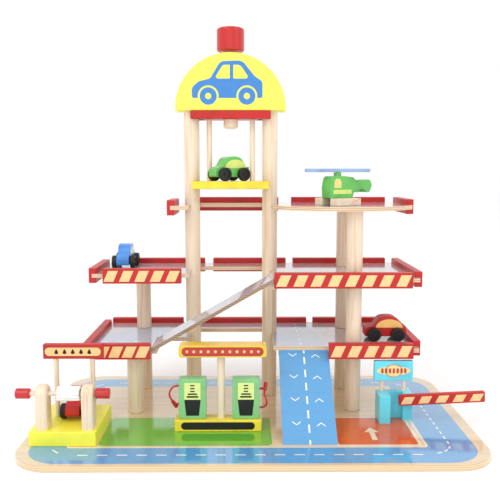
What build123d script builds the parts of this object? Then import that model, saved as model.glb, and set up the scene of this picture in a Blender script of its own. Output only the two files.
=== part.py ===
from build123d import *
import math
import os

# Toy parking garage of painted and lacquered wood: a printed base board, three plywood
# parking levels on round columns, a tower with a wound lift, two ramps, a car wash, a
# petrol station, a ticket booth with a barrier, four cars and a helicopter.
# Millimetres. X runs to the right, Y to the back and Z up.
# The origin is the centre of the base board's underside.

# ------------------------------------------------------------------ base board
board_length = 600.0
board_depth = 350.0
board_thickness = 8.0
board_corner_radius = 52.0
board_edge_round = 1.0

# ------------------------------------------------------------------ levels and columns
deck_thickness = 6.0
storey_clear = 94.0
deck_back_y = 152.0
deck_left_x = -236.0
deck_right_x = 236.5
column_radius = 11.5
column_end_chamfer = 0.8
left_front_column = (-170.5, 7.5)
left_rear_column = (-173.5, 118.0)
right_front_column = (147.3, 14.6)
right_rear_column = (146.0, 114.5)

storey_pitch = storey_clear + deck_thickness
deck_underside = [board_thickness + storey_clear + storey_pitch * n for n in range(3)]
deck_top = [z + deck_thickness for z in deck_underside]

# dowel pins that join the columns to the board and through the decks
pin_radius = 4.0
pin_length = 28.0
pin_bore_clearance = 0.05
pin_depth_in_board = 6.0
pin_depth_in_deck = 4.0

# ------------------------------------------------------------------ tower
tower_x = -32.0
tower_y = 83.5
tower_post_spacing = 118.0
tower_post_slot = 8.5
tower_post_top = 480.0
tower_post_flat = 1.0
shaft_back_y = 107.0

dome_bottom = 447.0
dome_radius = 82.0
dome_skirt = 2.0
dome_panel_thickness = 8.0
dome_edge_round = 1.2

bearing_block_width = 40.0
bearing_block_bottom = 495.0
bearing_block_top = 526.0
running_clearance = 0.06
seat_clearance = 0.03

spindle_radius = 8.0
spindle_flange_radius = 11.0
spindle_flange_thickness = 4.0
spindle_bottom = 452.0
spindle_collar_gap = 0.3
knob_radius = 20.5
knob_gap = 3.0
knob_bottom = dome_bottom + dome_skirt + dome_radius + knob_gap
knob_height = 34.0
knob_socket_depth = 20.0
knob_round = 3.5

# ------------------------------------------------------------------ lift car
lift_floor_length = 114.0
lift_floor_front = 45.0
lift_floor_back = 101.0
lift_floor_bottom = 331.5
lift_floor_thickness = 11.5
lift_bar_length = 119.0
lift_bar_front = 62.0
lift_bar_thickness = 12.0
lift_stop_gap = 0.3
lift_notch_clearance = 1.0
lift_notch_reach = 39.0
lift_rod_spacing = 65.0
lift_rod_radius = 4.0
lift_rod_cover = 2.0
cord_plug_radius = 11.0
cord_plug_drop = 13.5
cord_plug_chamfer = 3.0
lift_edge_round = 1.5

# ------------------------------------------------------------------ rails on the deck edges
rail_height = 22.0
rail_depth = 11.0
rail_groove = 6.0
rail_edge_round = 0.9
back_rails = [
    [(-230.0, -113.0), (-104.0, 91.0), (101.5, 220.5)],
    [(-187.0, -76.5), (-63.0, 56.0), (67.5, 219.5)],
    [(-100.0, 43.5), (64.5, 217.0)],
]

# ------------------------------------------------------------------ deck outlines
first_deck_front_y = -17.0
first_deck_left_wing_x = -144.0
first_deck_tower_front_y = 50.0
first_deck_ramp_front_y = -2.0
second_deck_left_front_y = 32.0
second_deck_right_front_y = -11.0
third_deck_left_x = -119.0
third_deck_left_front_y = 27.0
helipad_left_y = 45.0
helipad_front = (133.0, -12.0)
helipad_right_y = 45.0

# front and back ends of the plain rail at the left and right end of each deck
left_rails = [(-15.5, 138.0), (33.5, 135.0), (28.0, 100.0)]
right_rails = [(-4.0, 150.0), (-4.0, 150.0), (58.0, 150.0)]

# front rails: first and last X, and the deck edge each one is pushed on to
first_front_rails = [(-222.0, -144.5), (108.0, 227.5)]
second_left_front_rail = (-219.5, -104.5)
second_right_front_rail = (30.5, 225.5)

# ------------------------------------------------------------------ ramps
ramp_thickness = 5.0
ramp_gap = 0.2
side_ramp_front_y = -14.0
side_ramp_width = 55.0
side_ramp_lip = 6.0
side_ramp_block_length = 12.0
side_ramp_block_inset = 10.0
side_ramp_lip_thickness = 4.5
side_ramp_block_drop = 11.0
front_ramp_left_x = 38.0
front_ramp_width = 71.0
front_ramp_foot_y = -114.5
front_ramp_ledge = 6.0
front_ramp_block_depth = 8.0
front_ramp_block_height = 10.0

# ------------------------------------------------------------------ car wash
wash_plinth_x = (-287.3, -201.6)
wash_plinth_y = (-118.5, -18.0)
wash_plinth_height = 19.0
wash_upright_thickness = 15.5
wash_upright_depth = 25.0
wash_upright_height = 58.0
wash_upright_front_y = -114.0
wash_left_upright_x = -280.0
wash_right_upright_x = -221.0
wash_upright_round = 4.5
wash_rod_radius = 3.0
wash_rod_height = 45.5
wash_knob_radius = 6.8
wash_knob_length = 18.2
wash_left_knob_x = -306.6
wash_right_knob_x = -203.8
wash_knob_round = 1.5
wash_rod_seat = 15.0
brush_x = (-253.0, -223.5)
brush_radius = 9.8
brush_fold_depth = 1.6
brush_folds = 11
wash_sign_x = (-281.0, -201.0)
wash_sign_front_y = -66.5
wash_sign_thickness = 9.0
wash_sign_bottom = 108.0
wash_sign_height = 20.0
wash_sign_post_x = (-265.0, -216.2)
wash_sign_post_radius = 3.4

# ------------------------------------------------------------------ petrol station
petrol_bar_length = 117.5
petrol_bar_depth = 24.0
petrol_bar_height = 16.0
petrol_bar_round = 1.5
petrol_plinth_left_x = -106.0
petrol_front_y = -71.5
petrol_sign_left_x = -99.3
petrol_sign_bottom = 111.0
petrol_sign_corner = 4.0
petrol_post_x = -43.2
petrol_post_radius = 5.3
pump_width = 37.0
pump_depth = 17.0
pump_height = 56.0
pump_front_y = -67.0
left_pump_x = -100.2
right_pump_x = -28.0
pump_round = 1.5

hose_diameter = 2.6
hose_bore_depth = 5.0
nozzle_radius = 2.6
nozzle_length = 11.5
nozzle_spout_radius = 1.7
nozzle_spout_bore_depth = 5.0
nozzle_round = 1.0

# ------------------------------------------------------------------ ticket booth and barrier
booth_height = 39.0
booth_x = (176.0, 225.0)
booth_back_y = -13.0
booth_left_front_y = -44.0
booth_right_front_y = -32.0
booth_left_wall = 15.8
booth_right_wall = 13.6
booth_back_wall = 9.0
booth_round = 1.2
booth_sign_x = (172.5, 227.5)
booth_sign_front_y = -21.5
booth_sign_thickness = 8.0
booth_sign_bottom = 62.7
booth_sign_height = 28.3
booth_post_x = (184.0, 215.5)
booth_post_radius = 2.6
post_seat_depth = 10.0
sign_round = 1.0

barrier_pivot = (216.0, 40.0)
barrier_length = 120.0
barrier_tail = 11.5
barrier_height = 15.0
barrier_thickness = 8.0
barrier_rest_angle = 2.6
barrier_side_gap = 0.5
barrier_round = 1.5
barrier_pin_radius = 3.0
barrier_pin_depth = 10.0
barrier_pin_proud = 0.8

# ------------------------------------------------------------------ cars
car_length = 62.0
car_width = 19.0
car_height = 36.5
car_ground_gap = 6.0
car_sill_round = 3.0
car_edge_round = 0.4
wheel_base = 35.0
wheel_radius = 10.0
wheel_width = 7.0
wheel_side_gap = 1.0
wheel_dish_depth = 1.2
wheel_dish_radius = 6.2
wheel_hub_radius = 2.8
axle_radius = 2.0
wheel_floor_gap = 0.15
# name, X and Y of its middle, deck height it stands on, heading of its nose in degrees
car_places = [
    ("red_car", 197.5, 38.0, deck_top[0], 180.0),
    ("blue_car", -198.5, 105.5, deck_top[1], 270.0),
    ("wash_car", -240.5, -51.0, board_thickness + wash_plinth_height, 270.0),
    ("green_car", -34.6, 74.5, lift_floor_bottom + lift_floor_thickness, 218.0),
]

# ------------------------------------------------------------------ helicopter
heli_mast = (125.0, 45.0)
heli_heading = 35.0
heli_width = 20.0
heli_skid_height = 10.5
heli_skid_length = 46.0
heli_skid_width = 16.5
heli_skid_spacing = 33.5
heli_hub_radius = 5.5
heli_hub_height = 5.5
rotor_length = 96.0
rotor_width = 14.0
rotor_thickness = 5.0
rotor_gap = 0.3
rotor_pin_radius = 2.0
rotor_pin_depth = 14.0
heli_floor_gap = 0.15
heli_notch_radius = 9.0
heli_edge_round = 0.8


# ------------------------------------------------------------------ helpers
def block(x_range, y_range, z_range):
    """A box given by its lowest and highest corner along each axis."""
    size = [high - low for low, high in (x_range, y_range, z_range)]
    centre = [(high + low) / 2 for low, high in (x_range, y_range, z_range)]
    return Pos(*centre) * Box(*size)


def rounded_block(x_range, y_range, z_range, radius):
    """A box with all of its edges eased by the same radius."""
    plain = block(x_range, y_range, z_range)
    return fillet(plain.edges(), radius)


def upright_rod(x, y, z_range, radius):
    """A round rod that stands along Z."""
    low, high = z_range
    return Pos(x, y, (low + high) / 2) * Cylinder(radius, high - low)


def rod_along_x(x_range, y, z, radius):
    """A round rod that lies along X."""
    low, high = x_range
    return Pos((low + high) / 2, y, z) * Rot(0, 90, 0) * Cylinder(radius, high - low)


def rod_along_y(x, y_range, z, radius):
    """A round rod that lies along Y."""
    low, high = y_range
    return Pos(x, (low + high) / 2, z) * Rot(90, 0, 0) * Cylinder(radius, high - low)


def group(solids):
    """Separate solids that share one node."""
    return Compound(children=[solid for piece in solids for solid in piece.solids()])


def from_outline(points):
    """A flat face from straight-sided outline points."""
    return make_face(Polyline(*points, close=True))


def rounded_outline(corners):
    """A flat face from X, Y and rounding radius of each of its corners."""
    face = from_outline([(x, y) for x, y, _ in corners])
    for x, y, radius in corners:
        if radius:
            nearest = face.vertices().sort_by_distance((x, y, 0))[0]
            face = fillet(nearest, radius)
    return face


def plate(outline, plane, thickness):
    """An outline drawn on a plane and thickened along the plane's normal."""
    return extrude(plane * outline, thickness)


# ------------------------------------------------------------------ dowel pins
def joint_pins():
    """Where each pin starts: (X, Y, lowest Z)."""
    foot = board_thickness - pin_depth_in_board
    through = pin_length / 2 - deck_thickness / 2
    tower_posts = [(tower_post_x(side), tower_y) for side in (-1, 1)]
    columns = [left_front_column, left_rear_column, right_front_column, right_rear_column]
    pins = [(x, y, foot) for x, y in columns + tower_posts]
    pins += [(*left_rear_column, deck_underside[0] - through)]
    for column in (right_front_column, right_rear_column):
        pins += [(*column, deck_underside[level] - through) for level in (0, 1)]
    tops = [(left_front_column, 0), (left_rear_column, 1), (right_front_column, 2), (right_rear_column, 2)]
    for column, level in tops:
        pins += [(*column, deck_underside[level] + pin_depth_in_deck - pin_length)]
    return pins


def pin_solids(extra):
    """The pins, or with some extra radius the bores that take them."""
    return [upright_rod(x, y, (z, z + pin_length), pin_radius + extra) for x, y, z in joint_pins()]


def bored_for_pins(piece):
    """A wooden piece with the pin bores that fall inside it."""
    box = piece.bounding_box()
    for bore in pin_solids(pin_bore_clearance):
        near = bore.bounding_box()
        apart_x = near.max.X < box.min.X or near.min.X > box.max.X
        apart_y = near.max.Y < box.min.Y or near.min.Y > box.max.Y
        apart_z = near.max.Z < box.min.Z or near.min.Z > box.max.Z
        if not (apart_x or apart_y or apart_z):
            piece = piece - bore
    return piece


# ------------------------------------------------------------------ board, columns and tower posts
def tower_post_x(side):
    """Middle of the left (-1) or right (1) tower post."""
    return tower_x + side * tower_post_spacing / 2


def deck_inner_x(side):
    """Deck edge that sits in the slot on the outer side of a tower post."""
    return tower_post_x(side) + side * (column_radius - tower_post_slot)


def base_board():
    board = block(
        (-board_length / 2, board_length / 2),
        (-board_depth / 2, board_depth / 2),
        (0, board_thickness),
    )
    board = fillet(board.edges().filter_by(Axis.Z), board_corner_radius)
    rims = board.faces().sort_by(Axis.Z)
    board = fillet(rims[-1].edges() + rims[0].edges(), board_edge_round)
    return bored_for_pins(board)


def column_piece(column, low, high):
    piece = upright_rod(*column, (low, high), column_radius)
    piece = chamfer(piece.edges().filter_by(GeomType.CIRCLE), column_end_chamfer)
    return bored_for_pins(piece)


def column_stack(column, storeys):
    """Column pieces between the decks, from the board up."""
    lows = [board_thickness] + deck_top[:-1]
    return [column_piece(column, lows[n], deck_underside[n]) for n in range(storeys)]


def tower_post(side):
    x = tower_post_x(side)
    post = column_piece((x, tower_y), board_thickness, tower_post_top)
    outer = x + side * column_radius
    for low, high in zip(deck_underside, deck_top):
        slot_x = sorted((deck_inner_x(side), outer + side))
        post -= block(slot_x, (tower_y - 2 * column_radius, tower_y + 2 * column_radius), (low, high))
    flat = column_radius - tower_post_flat
    for y_range in ((-2 * column_radius, -flat), (flat, 2 * column_radius)):
        post -= block(
            (x - 2 * column_radius, x + 2 * column_radius),
            (tower_y + y_range[0], tower_y + y_range[1]),
            (dome_bottom, tower_post_top + 1),
        )
    return post


# ------------------------------------------------------------------ decks
def deck_plate(outline, level):
    """A plywood deck cut to its outline and bored for the column pins."""
    deck = plate(outline, Plane.XY.offset(deck_underside[level]), deck_thickness)
    return bored_for_pins(deck)


def first_deck():
    left_in = deck_inner_x(-1)
    right_in = deck_inner_x(1)
    step_x = first_front_rails[1][0] - ramp_gap
    outline = from_outline([
        (deck_left_x, deck_back_y),
        (deck_left_x, first_deck_front_y),
        (first_deck_left_wing_x, first_deck_front_y),
        (first_deck_left_wing_x, first_deck_tower_front_y),
        (left_in, first_deck_tower_front_y),
        (left_in, shaft_back_y),
        (right_in, shaft_back_y),
        (right_in, first_deck_ramp_front_y),
        (step_x, first_deck_ramp_front_y),
        (step_x, first_deck_front_y),
        (deck_right_x, first_deck_front_y),
        (deck_right_x, deck_back_y),
    ])
    return deck_plate(outline, 0)


def second_deck():
    left_in = deck_inner_x(-1)
    right_in = deck_inner_x(1)
    outline = from_outline([
        (deck_left_x, deck_back_y),
        (deck_left_x, second_deck_left_front_y),
        (left_in, second_deck_left_front_y),
        (left_in, shaft_back_y),
        (right_in, shaft_back_y),
        (right_in, second_deck_right_front_y),
        (deck_right_x, second_deck_right_front_y),
        (deck_right_x, deck_back_y),
    ])
    return deck_plate(outline, 1)


def third_deck():
    left_in = deck_inner_x(-1)
    right_in = deck_inner_x(1)
    edge = Polyline(
        (deck_right_x, helipad_right_y),
        (deck_right_x, deck_back_y),
        (third_deck_left_x, deck_back_y),
        (third_deck_left_x, third_deck_left_front_y),
        (left_in, third_deck_left_front_y),
        (left_in, shaft_back_y),
        (right_in, shaft_back_y),
        (right_in, helipad_left_y),
    )
    curve = ThreePointArc((right_in, helipad_left_y), helipad_front, (deck_right_x, helipad_right_y))
    return deck_plate(make_face([edge, curve]), 2)


# ------------------------------------------------------------------ rails
def rail(length):
    """A rail along X at Z 0, with its groove towards +Y; its groove floor is at Y 0."""
    wall = rail_depth - rail_groove
    body = rounded_block(
        (0, length), (-wall, rail_groove), (-rail_height / 2, rail_height / 2), rail_edge_round
    )
    groove = block((-1, length + 1), (0, rail_groove + 1), (-deck_thickness / 2, deck_thickness / 2))
    return body - groove


def front_rail(x_range, edge_y, level):
    middle = deck_underside[level] + deck_thickness / 2
    return Pos(x_range[0], edge_y, middle) * rail(x_range[1] - x_range[0])


def back_rail(x_range, level):
    middle = deck_underside[level] + deck_thickness / 2
    return Pos(x_range[1], deck_back_y, middle) * Rot(0, 0, 180) * rail(x_range[1] - x_range[0])


def left_end_rail(edge_x, y_range, level):
    middle = deck_underside[level] + deck_thickness / 2
    return Pos(edge_x, y_range[1], middle) * Rot(0, 0, -90) * rail(y_range[1] - y_range[0])


def right_end_rail(edge_x, y_range, level):
    middle = deck_underside[level] + deck_thickness / 2
    return Pos(edge_x, y_range[0], middle) * Rot(0, 0, 90) * rail(y_range[1] - y_range[0])


def plain_rails(level, left_x):
    """The plain red rails along the back and both ends of a deck."""
    rails = [back_rail(x_range, level) for x_range in back_rails[level]]
    rails += [left_end_rail(left_x, left_rails[level], level)]
    rails += [right_end_rail(deck_right_x, right_rails[level], level)]
    return group(rails)


def striped_rails(level):
    if level == 0:
        return group([front_rail(x_range, first_deck_front_y, 0) for x_range in first_front_rails])
    left = front_rail(second_left_front_rail, second_deck_left_front_y, 1)
    right = front_rail(second_right_front_rail, second_deck_right_front_y, 1)
    return group([left, right])


# ------------------------------------------------------------------ ramps
def side_ramp_ends():
    """Top edge of the side ramp at the first and at the second deck."""
    low = (first_deck_left_wing_x + ramp_gap, deck_top[0])
    high = (deck_inner_x(1) - ramp_gap, deck_top[1])
    return low, high


def side_ramp_underside(x):
    """Height of the side ramp's underside at an X."""
    low, high = side_ramp_ends()
    slope = (high[1] - low[1]) / (high[0] - low[0])
    upright_thickness = ramp_thickness * math.hypot(1, slope)
    return low[1] + slope * (x - low[0]) - upright_thickness


def across_side_ramp(points, inset):
    """An outline in X and Z, as wide as the side ramp less an inset at its front."""
    plane = Plane((0, side_ramp_front_y + inset, 0), x_dir=(1, 0, 0), z_dir=(0, -1, 0))
    return plate(from_outline(points), plane, inset - side_ramp_width)


def side_ramp():
    low, high = side_ramp_ends()
    return across_side_ramp([
        low,
        (low[0], side_ramp_underside(low[0])),
        (high[0], side_ramp_underside(high[0])),
        high,
    ], 0)


def side_ramp_blocks():
    """The block under each end of the side ramp, with a lip that takes the deck edge."""
    low, high = side_ramp_ends()
    low_deck = deck_underside[0]
    high_deck = deck_underside[1]
    lower = across_side_ramp([
        (low[0] - side_ramp_lip, low_deck),
        (low[0], low_deck),
        (low[0], side_ramp_underside(low[0])),
        (low[0] + side_ramp_block_length, side_ramp_underside(low[0] + side_ramp_block_length)),
        (low[0] + side_ramp_lip, low_deck - side_ramp_lip_thickness),
        (low[0] - side_ramp_lip, low_deck - side_ramp_lip_thickness),
    ], side_ramp_block_inset)
    upper = across_side_ramp([
        (high[0] + side_ramp_lip, high_deck),
        (high[0], high_deck),
        (high[0], side_ramp_underside(high[0])),
        (high[0] - side_ramp_block_length, side_ramp_underside(high[0] - side_ramp_block_length)),
        (high[0] - side_ramp_lip, high_deck - side_ramp_block_drop),
        (high[0] + side_ramp_lip, high_deck - side_ramp_block_drop),
    ], side_ramp_block_inset)
    return [lower, upper]


def across_front_ramp(points):
    """An outline in Y and Z, as wide as the front ramp."""
    plane = Plane((front_ramp_left_x, 0, 0), x_dir=(0, 1, 0), z_dir=(1, 0, 0))
    return plate(from_outline(points), plane, front_ramp_width)


def front_ramp():
    """The ramp from the board up to the underside of the first deck's front edge."""
    foot = (front_ramp_foot_y, board_thickness)
    top = (first_deck_ramp_front_y, deck_underside[0])
    slope = (top[1] - foot[1]) / (top[0] - foot[0])
    upright_thickness = ramp_thickness * math.hypot(1, slope)
    back = top[0] + front_ramp_ledge
    back_low = top[1] + slope * front_ramp_ledge - upright_thickness
    foot_back = foot[0] + upright_thickness / slope
    return across_front_ramp([foot, top, (back, top[1]), (back, back_low), (foot_back, foot[1])])


def front_ramp_block():
    """The strip behind the front ramp's top, glued under the first deck."""
    front = first_deck_ramp_front_y + front_ramp_ledge
    return block(
        (front_ramp_left_x, front_ramp_left_x + front_ramp_width),
        (front, front + front_ramp_block_depth),
        (deck_underside[0] - front_ramp_block_height, deck_underside[0]),
    )


# ------------------------------------------------------------------ dome, winch and lift
def dome_outline():
    """Half round on a short skirt, drawn in X and Z."""
    left = tower_x - dome_radius
    right = tower_x + dome_radius
    spring = dome_bottom + dome_skirt
    lines = Polyline((right, spring), (right, dome_bottom), (left, dome_bottom), (left, spring))
    arc = ThreePointArc((left, spring), (tower_x, spring + dome_radius), (right, spring))
    return make_face([lines, arc])


def dome_panel(inner_y, side):
    """A panel whose inner face lies on the posts' flats; side is -1 in front, 1 behind."""
    plane = Plane((0, inner_y, 0), x_dir=(1, 0, 0), z_dir=(0, -1, 0))
    panel = plate(dome_outline(), plane, -side * dome_panel_thickness)
    outer = panel.faces().sort_by(Axis.Y)[-1 if side > 0 else 0]
    return fillet(outer.edges(), dome_edge_round)


def dome_gap_half():
    """Half the space between the two dome panels."""
    return column_radius - tower_post_flat


def bearing_block():
    half = bearing_block_width / 2
    body = block(
        (tower_x - half, tower_x + half),
        (tower_y - dome_gap_half(), tower_y + dome_gap_half()),
        (bearing_block_bottom, bearing_block_top),
    )
    bore = upright_rod(
        tower_x, tower_y, (bearing_block_bottom - 1, bearing_block_top + 1), spindle_radius + running_clearance
    )
    return body - bore


def winch_spindle():
    """The upright spindle, flanged so that the lift cord stays on it."""
    collar_top = bearing_block_bottom - spindle_collar_gap
    flange = min(spindle_flange_radius, dome_gap_half() - spindle_collar_gap)
    top = knob_bottom + knob_socket_depth
    rod = upright_rod(tower_x, tower_y, (spindle_bottom, top), spindle_radius)
    upper = upright_rod(tower_x, tower_y, (collar_top - spindle_flange_thickness, collar_top), flange)
    lower = upright_rod(
        tower_x, tower_y, (spindle_bottom, spindle_bottom + spindle_flange_thickness), flange
    )
    return rod + upper + lower


def winch_knob():
    knob = upright_rod(tower_x, tower_y, (knob_bottom, knob_bottom + knob_height), knob_radius)
    knob = fillet(knob.edges().filter_by(GeomType.CIRCLE), knob_round)
    socket = (knob_bottom - 1, knob_bottom + knob_socket_depth)
    return knob - upright_rod(tower_x, tower_y, socket, spindle_radius + seat_clearance)


def lift_plate(length, front_y, z_range):
    """A plate with a round-ended notch round each tower post."""
    body = rounded_block(
        (tower_x - length / 2, tower_x + length / 2), (front_y, lift_floor_back), z_range, lift_edge_round
    )
    notch_radius = column_radius + lift_notch_clearance
    deep = (z_range[0] - 1, z_range[1] + 1)
    for side in (-1, 1):
        round_x = tower_x + side * (lift_notch_reach + notch_radius)
        mouth = sorted((round_x, tower_x + side * length))
        body -= block(mouth, (tower_y - notch_radius, tower_y + notch_radius), deep)
        body -= upright_rod(round_x, tower_y, deep, notch_radius)
    return body


def lift_rod_x(side):
    return tower_x + side * lift_rod_spacing / 2


def lift_bar_range():
    top = dome_bottom - lift_stop_gap
    return (top - lift_bar_thickness, top)


def lift_rod_range():
    return (lift_floor_bottom + lift_rod_cover, lift_bar_range()[1] - lift_rod_cover)


def lift_rods(extra):
    """The two thin uprights of the lift car, or their bores."""
    radius = lift_rod_radius + extra
    return [upright_rod(lift_rod_x(side), tower_y, lift_rod_range(), radius) for side in (-1, 1)]


def lift_floor():
    z_range = (lift_floor_bottom, lift_floor_bottom + lift_floor_thickness)
    floor = lift_plate(lift_floor_length, lift_floor_front, z_range)
    for bore in lift_rods(seat_clearance):
        floor -= bore
    return floor


def lift_bar():
    bar = lift_plate(lift_bar_length, lift_bar_front, lift_bar_range())
    for bore in lift_rods(seat_clearance):
        bar -= bore
    low, high = lift_bar_range()
    return bar - upright_rod(tower_x, tower_y, (low - 1, high + 1), cord_plug_radius + seat_clearance)


def cord_plug():
    """The round plug in the lift bar that the lift cord is tied to."""
    low, high = lift_bar_range()
    plug = upright_rod(tower_x, tower_y, (low - cord_plug_drop, high), cord_plug_radius)
    lowest = plug.edges().filter_by(GeomType.CIRCLE).sort_by(Axis.Z)[0]
    return chamfer(lowest, cord_plug_chamfer)


# ------------------------------------------------------------------ car wash
wash_floor = board_thickness + wash_plinth_height
wash_rod_y = wash_upright_front_y + wash_upright_depth / 2
wash_rod_z = wash_floor + wash_rod_height
wash_sign_post_y = wash_sign_front_y + wash_sign_thickness / 2


def wash_plinth():
    plinth = rounded_block(wash_plinth_x, wash_plinth_y, (board_thickness, wash_floor), sign_round)
    for post in sign_posts(seat_clearance):
        plinth -= post
    return plinth


def wash_upright(x):
    """A thick upright with a half-round head, bored for the brush rod."""
    half = wash_upright_depth / 2
    y = wash_rod_y
    spring = wash_floor + wash_upright_height - half
    lines = Polyline((y + half, spring), (y + half, wash_floor), (y - half, wash_floor), (y - half, spring))
    arc = ThreePointArc((y - half, spring), (y, spring + half), (y + half, spring))
    plane = Plane((x, 0, 0), x_dir=(0, 1, 0), z_dir=(1, 0, 0))
    body = plate(make_face([lines, arc]), plane, wash_upright_thickness)
    sides = body.faces().sort_by(Axis.X)
    rims = [edge for face in (sides[0], sides[-1]) for edge in face.edges()]
    floor = body.faces().sort_by(Axis.Z)[0]
    on_floor = [tuple(edge.center()) for edge in floor.edges()]
    body = fillet([edge for edge in rims if tuple(edge.center()) not in on_floor], wash_upright_round)
    bore = rod_along_x((x - 1, x + wash_upright_thickness + 1), y, wash_rod_z, wash_rod_radius + running_clearance)
    return body - bore


def wash_rod():
    seat = wash_knob_length - wash_rod_seat
    x_range = (wash_left_knob_x + seat, wash_right_knob_x + wash_rod_seat)
    return rod_along_x(x_range, wash_rod_y, wash_rod_z, wash_rod_radius)


def wash_knob(x, rod):
    knob = rod_along_x((x, x + wash_knob_length), wash_rod_y, wash_rod_z, wash_knob_radius)
    knob = fillet(knob.edges().filter_by(GeomType.CIRCLE), wash_knob_round)
    box = rod.bounding_box()
    bore = rod_along_x((box.min.X, box.max.X), wash_rod_y, wash_rod_z, wash_rod_radius + seat_clearance)
    return knob - bore


def wash_brush():
    """The roll of white cloth on the rod, gathered in folds along its length."""
    count = 2 * brush_folds
    points = []
    for n in range(count):
        angle = 2 * math.pi * n / count
        radius = brush_radius - (n % 2) * brush_fold_depth
        points.append((radius * math.cos(angle), radius * math.sin(angle)))
    plane = Plane((brush_x[0], wash_rod_y, wash_rod_z), x_dir=(0, 1, 0), z_dir=(1, 0, 0))
    roll = plate(from_outline(points), plane, brush_x[1] - brush_x[0])
    bore_x = (brush_x[0] - 1, brush_x[1] + 1)
    return roll - rod_along_x(bore_x, wash_rod_y, wash_rod_z, wash_rod_radius + seat_clearance)


def wash_sign():
    z_range = (wash_sign_bottom, wash_sign_bottom + wash_sign_height)
    y_range = (wash_sign_front_y, wash_sign_front_y + wash_sign_thickness)
    board = rounded_block(wash_sign_x, y_range, z_range, sign_round)
    for post in sign_posts(seat_clearance):
        board -= post
    return board


# ------------------------------------------------------------------ petrol station
petrol_floor = board_thickness + petrol_bar_height
petrol_post_y = petrol_front_y + petrol_bar_depth / 2
hose_y = pump_front_y + pump_depth / 2


def petrol_plinth():
    x_range = (petrol_plinth_left_x, petrol_plinth_left_x + petrol_bar_length)
    y_range = (petrol_front_y, petrol_front_y + petrol_bar_depth)
    plinth = rounded_block(x_range, y_range, (board_thickness, petrol_floor), petrol_bar_round)
    for post in sign_posts(seat_clearance):
        plinth -= post
    return plinth


def petrol_sign():
    x_range = (petrol_sign_left_x, petrol_sign_left_x + petrol_bar_length)
    y_range = (petrol_front_y, petrol_front_y + petrol_bar_depth)
    board = block(x_range, y_range, (petrol_sign_bottom, petrol_sign_bottom + petrol_bar_height))
    board = fillet(board.edges().filter_by(Axis.Y), petrol_sign_corner)
    faces = board.faces().sort_by(Axis.Y)
    board = fillet(faces[0].edges() + faces[-1].edges(), sign_round)
    for post in sign_posts(seat_clearance):
        board -= post
    return board


def pump(x, side, hose_route, nozzle_spout):
    """A pump body; side is -1 where its hose is on the left, 1 on the right."""
    body = rounded_block(
        (x, x + pump_width),
        (pump_front_y, pump_front_y + pump_depth),
        (petrol_floor, petrol_floor + pump_height),
        pump_round,
    )
    wall_x = x if side < 0 else x + pump_width
    inside = sorted((wall_x - side * nozzle_spout_bore_depth, wall_x + side))
    spout_z = nozzle_spout
    return body - rod_along_x(inside, hose_y, spout_z, nozzle_spout_radius + seat_clearance)


left_pump_wall = left_pump_x
right_pump_wall = right_pump_x + pump_width
left_spout_z = 42.5
right_spout_z = 64.0
nozzle_stand_off = 7.6

# The left hose leaves the pump high up, bows outwards and comes down into its nozzle.
left_hose_route = [
    (left_pump_wall, hose_y, 68.5),
    (left_pump_wall - 6.0, hose_y, 68.5),
    (left_pump_wall - 12.2, hose_y - 1.5, 63.0),
    (left_pump_wall - 14.0, hose_y - 2.0, 54.5),
    (left_pump_wall - 9.6, hose_y - 0.5, 47.2),
]
# The right hose leaves the pump low down, bows outwards and goes up into its nozzle.
right_hose_route = [
    (right_pump_wall, hose_y, 37.5),
    (right_pump_wall + 5.5, hose_y, 37.5),
    (right_pump_wall + 10.0, hose_y - 2.5, 42.5),
    (right_pump_wall + 9.5, hose_y - 4.5, 50.0),
    (right_pump_wall + 6.0, hose_y - 1.5, 56.0),
    (right_pump_wall + 7.0, hose_y - 0.5, 61.5),
]


def hose_radii(route):
    """A bend radius for each inner point of a route, as large as its two runs allow."""
    points = [Vector(*point) for point in route]
    radii = []
    for before, corner, after in zip(points, points[1:], points[2:]):
        turn = math.radians((corner - before).get_angle(after - corner))
        run = min((corner - before).length, (after - corner).length)
        radii.append(0.45 * run / math.tan(turn / 2))
    return radii


def hose(route, name):
    """A soft hose along its route, as straight runs joined by tangent arcs."""
    radii = hose_radii(route)
    path = FilletPolyline(*route, radius=radii)
    start = Plane(path @ 0, z_dir=path % 0)
    tube = sweep(start * Circle(hose_diameter / 2), path=path)
    section = math.pi * (hose_diameter / 2) ** 2
    print(name, "bend radii", [round(radius, 1) for radius in radii], "length", round(path.length, 1))
    print(name, "volume", round(tube.volume, 2), "section times length", round(section * path.length, 2))
    return tube


def nozzle(route, wall_x, side, spout_z):
    """The nozzle at the end of a hose, with a spout that plugs into the pump's side."""
    end = Vector(*route[-1])
    heading = (end - Vector(*route[-2])).normalized()
    frame = Plane(tuple(end), z_dir=tuple(heading))
    grip = extrude(frame * Circle(nozzle_radius), nozzle_length)
    grip = fillet(grip.edges().filter_by(GeomType.CIRCLE), nozzle_round)
    inside = wall_x - side * (nozzle_spout_bore_depth - running_clearance)
    middle_x = end.X + heading.X * (spout_z - end.Z) / heading.Z
    spout = rod_along_x(sorted((inside, middle_x)), hose_y, spout_z, nozzle_spout_radius)
    return grip + spout


# ------------------------------------------------------------------ booth and barrier
booth_top = board_thickness + booth_height
booth_post_y = booth_sign_front_y + booth_sign_thickness / 2


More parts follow.
